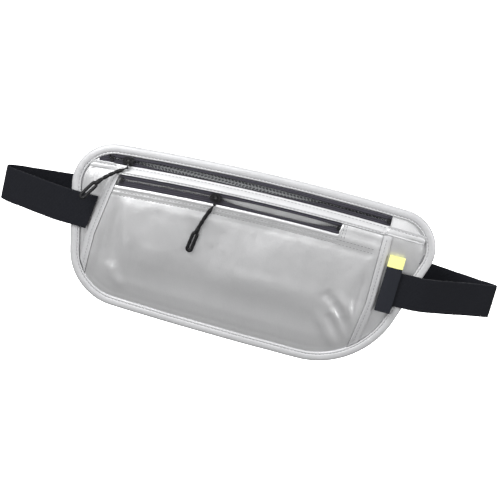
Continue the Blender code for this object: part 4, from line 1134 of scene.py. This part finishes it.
def make_pouch():
    """The fabric pieces of the pouch, then the stitches that lie on them."""
    front = make_front_panel()
    middle = make_middle_panel()
    make_back_panel()
    binding, binding_row = make_binding()
    left_hem, left_row = make_hem("left_hem", LEFT_HEM_INNER, LEFT_HEM_OUTER, 8.0)
    right_hem, right_row = make_hem("right_hem", RIGHT_HEM_INNER, RIGHT_HEM_OUTER, 9.0)
    tree = surface_tree(front, *middle, binding, left_hem, right_hem, make_zip_strip())
    rows = [binding_row, left_row, right_row]
    for level, x0, x1 in STITCHED_LEVELS:
        x = np.linspace(x0, x1, 80)
        rows.append(np.stack([x, level_z(x, level)], axis=1))
    rows += [[(x, level_z(x, level)) for level in ZIP_END_LEVELS] for x in ZIP_END_ROWS]
    sewn = {name: bmesh.new() for name in ("front_stitches", "rear_stitches", "binding_bartack")}
    for row in rows:
        sewn_line(sewn["front_stitches"], tree, row)
    sewn_line(sewn["rear_stitches"], surface_tree(binding), binding_row, toward=-1.0)
    for k in range(BARTACK_COUNT):
        x, z = (start + k * step for start, step in zip(BARTACK_START, BARTACK_STEP))
        y = on_surface(tree, x, z)
        thread = [(x + dx, y + dy, z + dz) for dx, dy, dz in BARTACK_THREAD]
        add_tube(sewn["binding_bartack"], thread, 0.2)
    for name, mesh in sewn.items():
        finish_piece(name, mesh, grey_thread)


PLASTIC_NODES = ("buckle_socket", "buckle_plug", "upper_squeeze_arm", "lower_squeeze_arm", "strap_adjuster")
ZIP_METAL = ("slider", "pull_link", "zip_left_stop", "zip_right_stop")
METAL_NODES = [f"{prefix}_{part}" for part in ZIP_METAL for prefix in ("rear", "front")]
PLASTIC_EDGE, METAL_EDGE = 0.45, 0.16


def dress_cad_nodes(names, material, edge):
    """Moulded and metal CAD nodes stay: softened edges and a finished material."""
    for name in names:
        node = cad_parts[name]
        for item in node.material_slots:
            item.material = material
        if not node.material_slots:
            node.data.materials.append(material)
        bevel = node.modifiers.new("edge", "BEVEL")
        bevel.width = edge * MM
        bevel.segments = 3
        bevel.limit_method = "ANGLE"
        bevel.angle_limit = math.radians(40)
        bevel.use_clamp_overlap = True


# ---- studio, in metres

SKY_TOWARD = (-0.5, -0.6, 0.6)
SKY_RANGE = dict(From_Min=0.0, From_Max=0.9, To_Min=0.2, To_Max=0.98)
SKY_SEEN, FLOOR_GLOW, FLOOR_GREY, FLOOR_Z = 1.05, 0.95, 0.14, -0.24
LIGHTS = {
    "key": dict(place=(-0.8, -0.9, 1.0), size=(0.6, 0.4), power=16.0),
    "front": dict(place=(-0.75, -1.5, 0.5), size=(0.9, 0.6), power=10.0),
    "fill": dict(place=(1.2, -0.6, 0.35), size=(0.5, 0.5), power=9.0),
    "back": dict(place=(0.2, 1.3, 0.6), size=(0.9, 0.6), power=16.0),
}
CAMERA_TARGET, CAMERA_DISTANCE, CAMERA_LENS = (0.004, 0.0, 0.006), 1.111, 100.0
CAMERA_ELEVATION, CAMERA_ROLL = 15.0, 14.3


def add_light(name, place, size, power):
    """A rectangular light that faces the origin."""
    data = bpy.data.lights.new(name, "AREA")
    data.energy = power
    data.shape = "RECTANGLE"
    data.size, data.size_y = size
    light = new_object(name, data)
    light.location = place
    light.rotation_euler = (-Vector(place)).to_track_quat("-Z", "Y").to_euler()


def make_sky():
    """A sky that is brightest towards one side, and plain white where the camera sees it."""
    world = bpy.data.worlds.new("studio")
    world.use_nodes = True
    sky = Nodes(world.node_tree)
    toward = sky.node("ShaderNodeTexCoord").outputs["Generated"]
    facing = sky.node("ShaderNodeVectorMath", "DOT_PRODUCT", toward, Vector(SKY_TOWARD).normalized())
    spread = sky.node("ShaderNodeMapRange", None, facing.outputs["Value"], **SKY_RANGE)
    spread.interpolation_type = "SMOOTHSTEP"
    seen = sky.node("ShaderNodeLightPath").outputs["Is Camera Ray"]
    backdrop = sky.node("ShaderNodeMix", Factor=seen, A=spread.outputs[0], B=SKY_SEEN)
    background = sky.tree.nodes["Background"]
    sky.put(background.inputs["Strength"], backdrop.outputs["Result"])
    sky.put(background.inputs["Color"], (1.0, 1.0, 1.0, 1.0))
    bpy.context.scene.world = world


def make_floor():
    """A wide pale floor, darker to every ray but the camera's."""
    mesh = bmesh.new()
    bmesh.ops.create_grid(mesh, x_segments=2, y_segments=2, size=40.0)
    data = bpy.data.meshes.new("floor")
    mesh.to_mesh(data)
    mesh.free()
    pale = Shader("pale_floor", 0.9, Emission_Color=(1.0, 1.0, 1.0, 1.0))
    seen = pale.node("ShaderNodeLightPath").outputs["Is Camera Ray"]
    pale.put(pale.surface.inputs["Emission Strength"], pale.math("MULTIPLY", seen, FLOOR_GLOW))
    cloud = pale.blend(pale.noise(400.0), (0.93, 0.93, 0.93), (0.96, 0.96, 0.96))
    data.materials.append(pale.done(pale.blend(seen, [FLOOR_GREY] * 3, cloud)))
    floor = new_object("floor", data)
    floor.location = (0.0, 0.0, FLOOR_Z)


def make_camera():
    """A long lens in front of the object, a little above it and tilted."""
    data = bpy.data.cameras.new("camera")
    data.lens = CAMERA_LENS
    data.clip_end = 30.0
    camera = new_object("camera", data)
    tilt = math.radians(CAMERA_ELEVATION)
    back = Vector((0.0, -math.cos(tilt), math.sin(tilt)))
    turn = (-back).to_track_quat("-Z", "Y").to_matrix().to_4x4()
    turn = turn @ Matrix.Rotation(math.radians(CAMERA_ROLL), 4, "Z")
    camera.matrix_world = Matrix.Translation(Vector(CAMERA_TARGET) + back * CAMERA_DISTANCE) @ turn
    bpy.context.scene.camera = camera


bpy.context.scene.view_settings.view_transform = "Standard"
make_camera()
make_sky()
make_floor()
for light_name, light_sizes in LIGHTS.items():
    add_light(light_name, **light_sizes)
dress_cad_nodes(PLASTIC_NODES, plastic, PLASTIC_EDGE)
dress_cad_nodes(METAL_NODES, metal, METAL_EDGE)
make_pouch()
for zip_name, zip_sizes in (("rear", REAR_ZIP), ("front", FRONT_ZIP)):
    make_tapes(zip_name, zip_sizes)
    make_teeth(zip_name, zip_sizes)
make_pull("rear", REAR_ZIP, lift=20.0, swing=48.0, bow=-3.2)
make_pull("front", FRONT_ZIP, lift=0.0, swing=18.0, bow=-1.8)
make_straps()
make_side_tab()
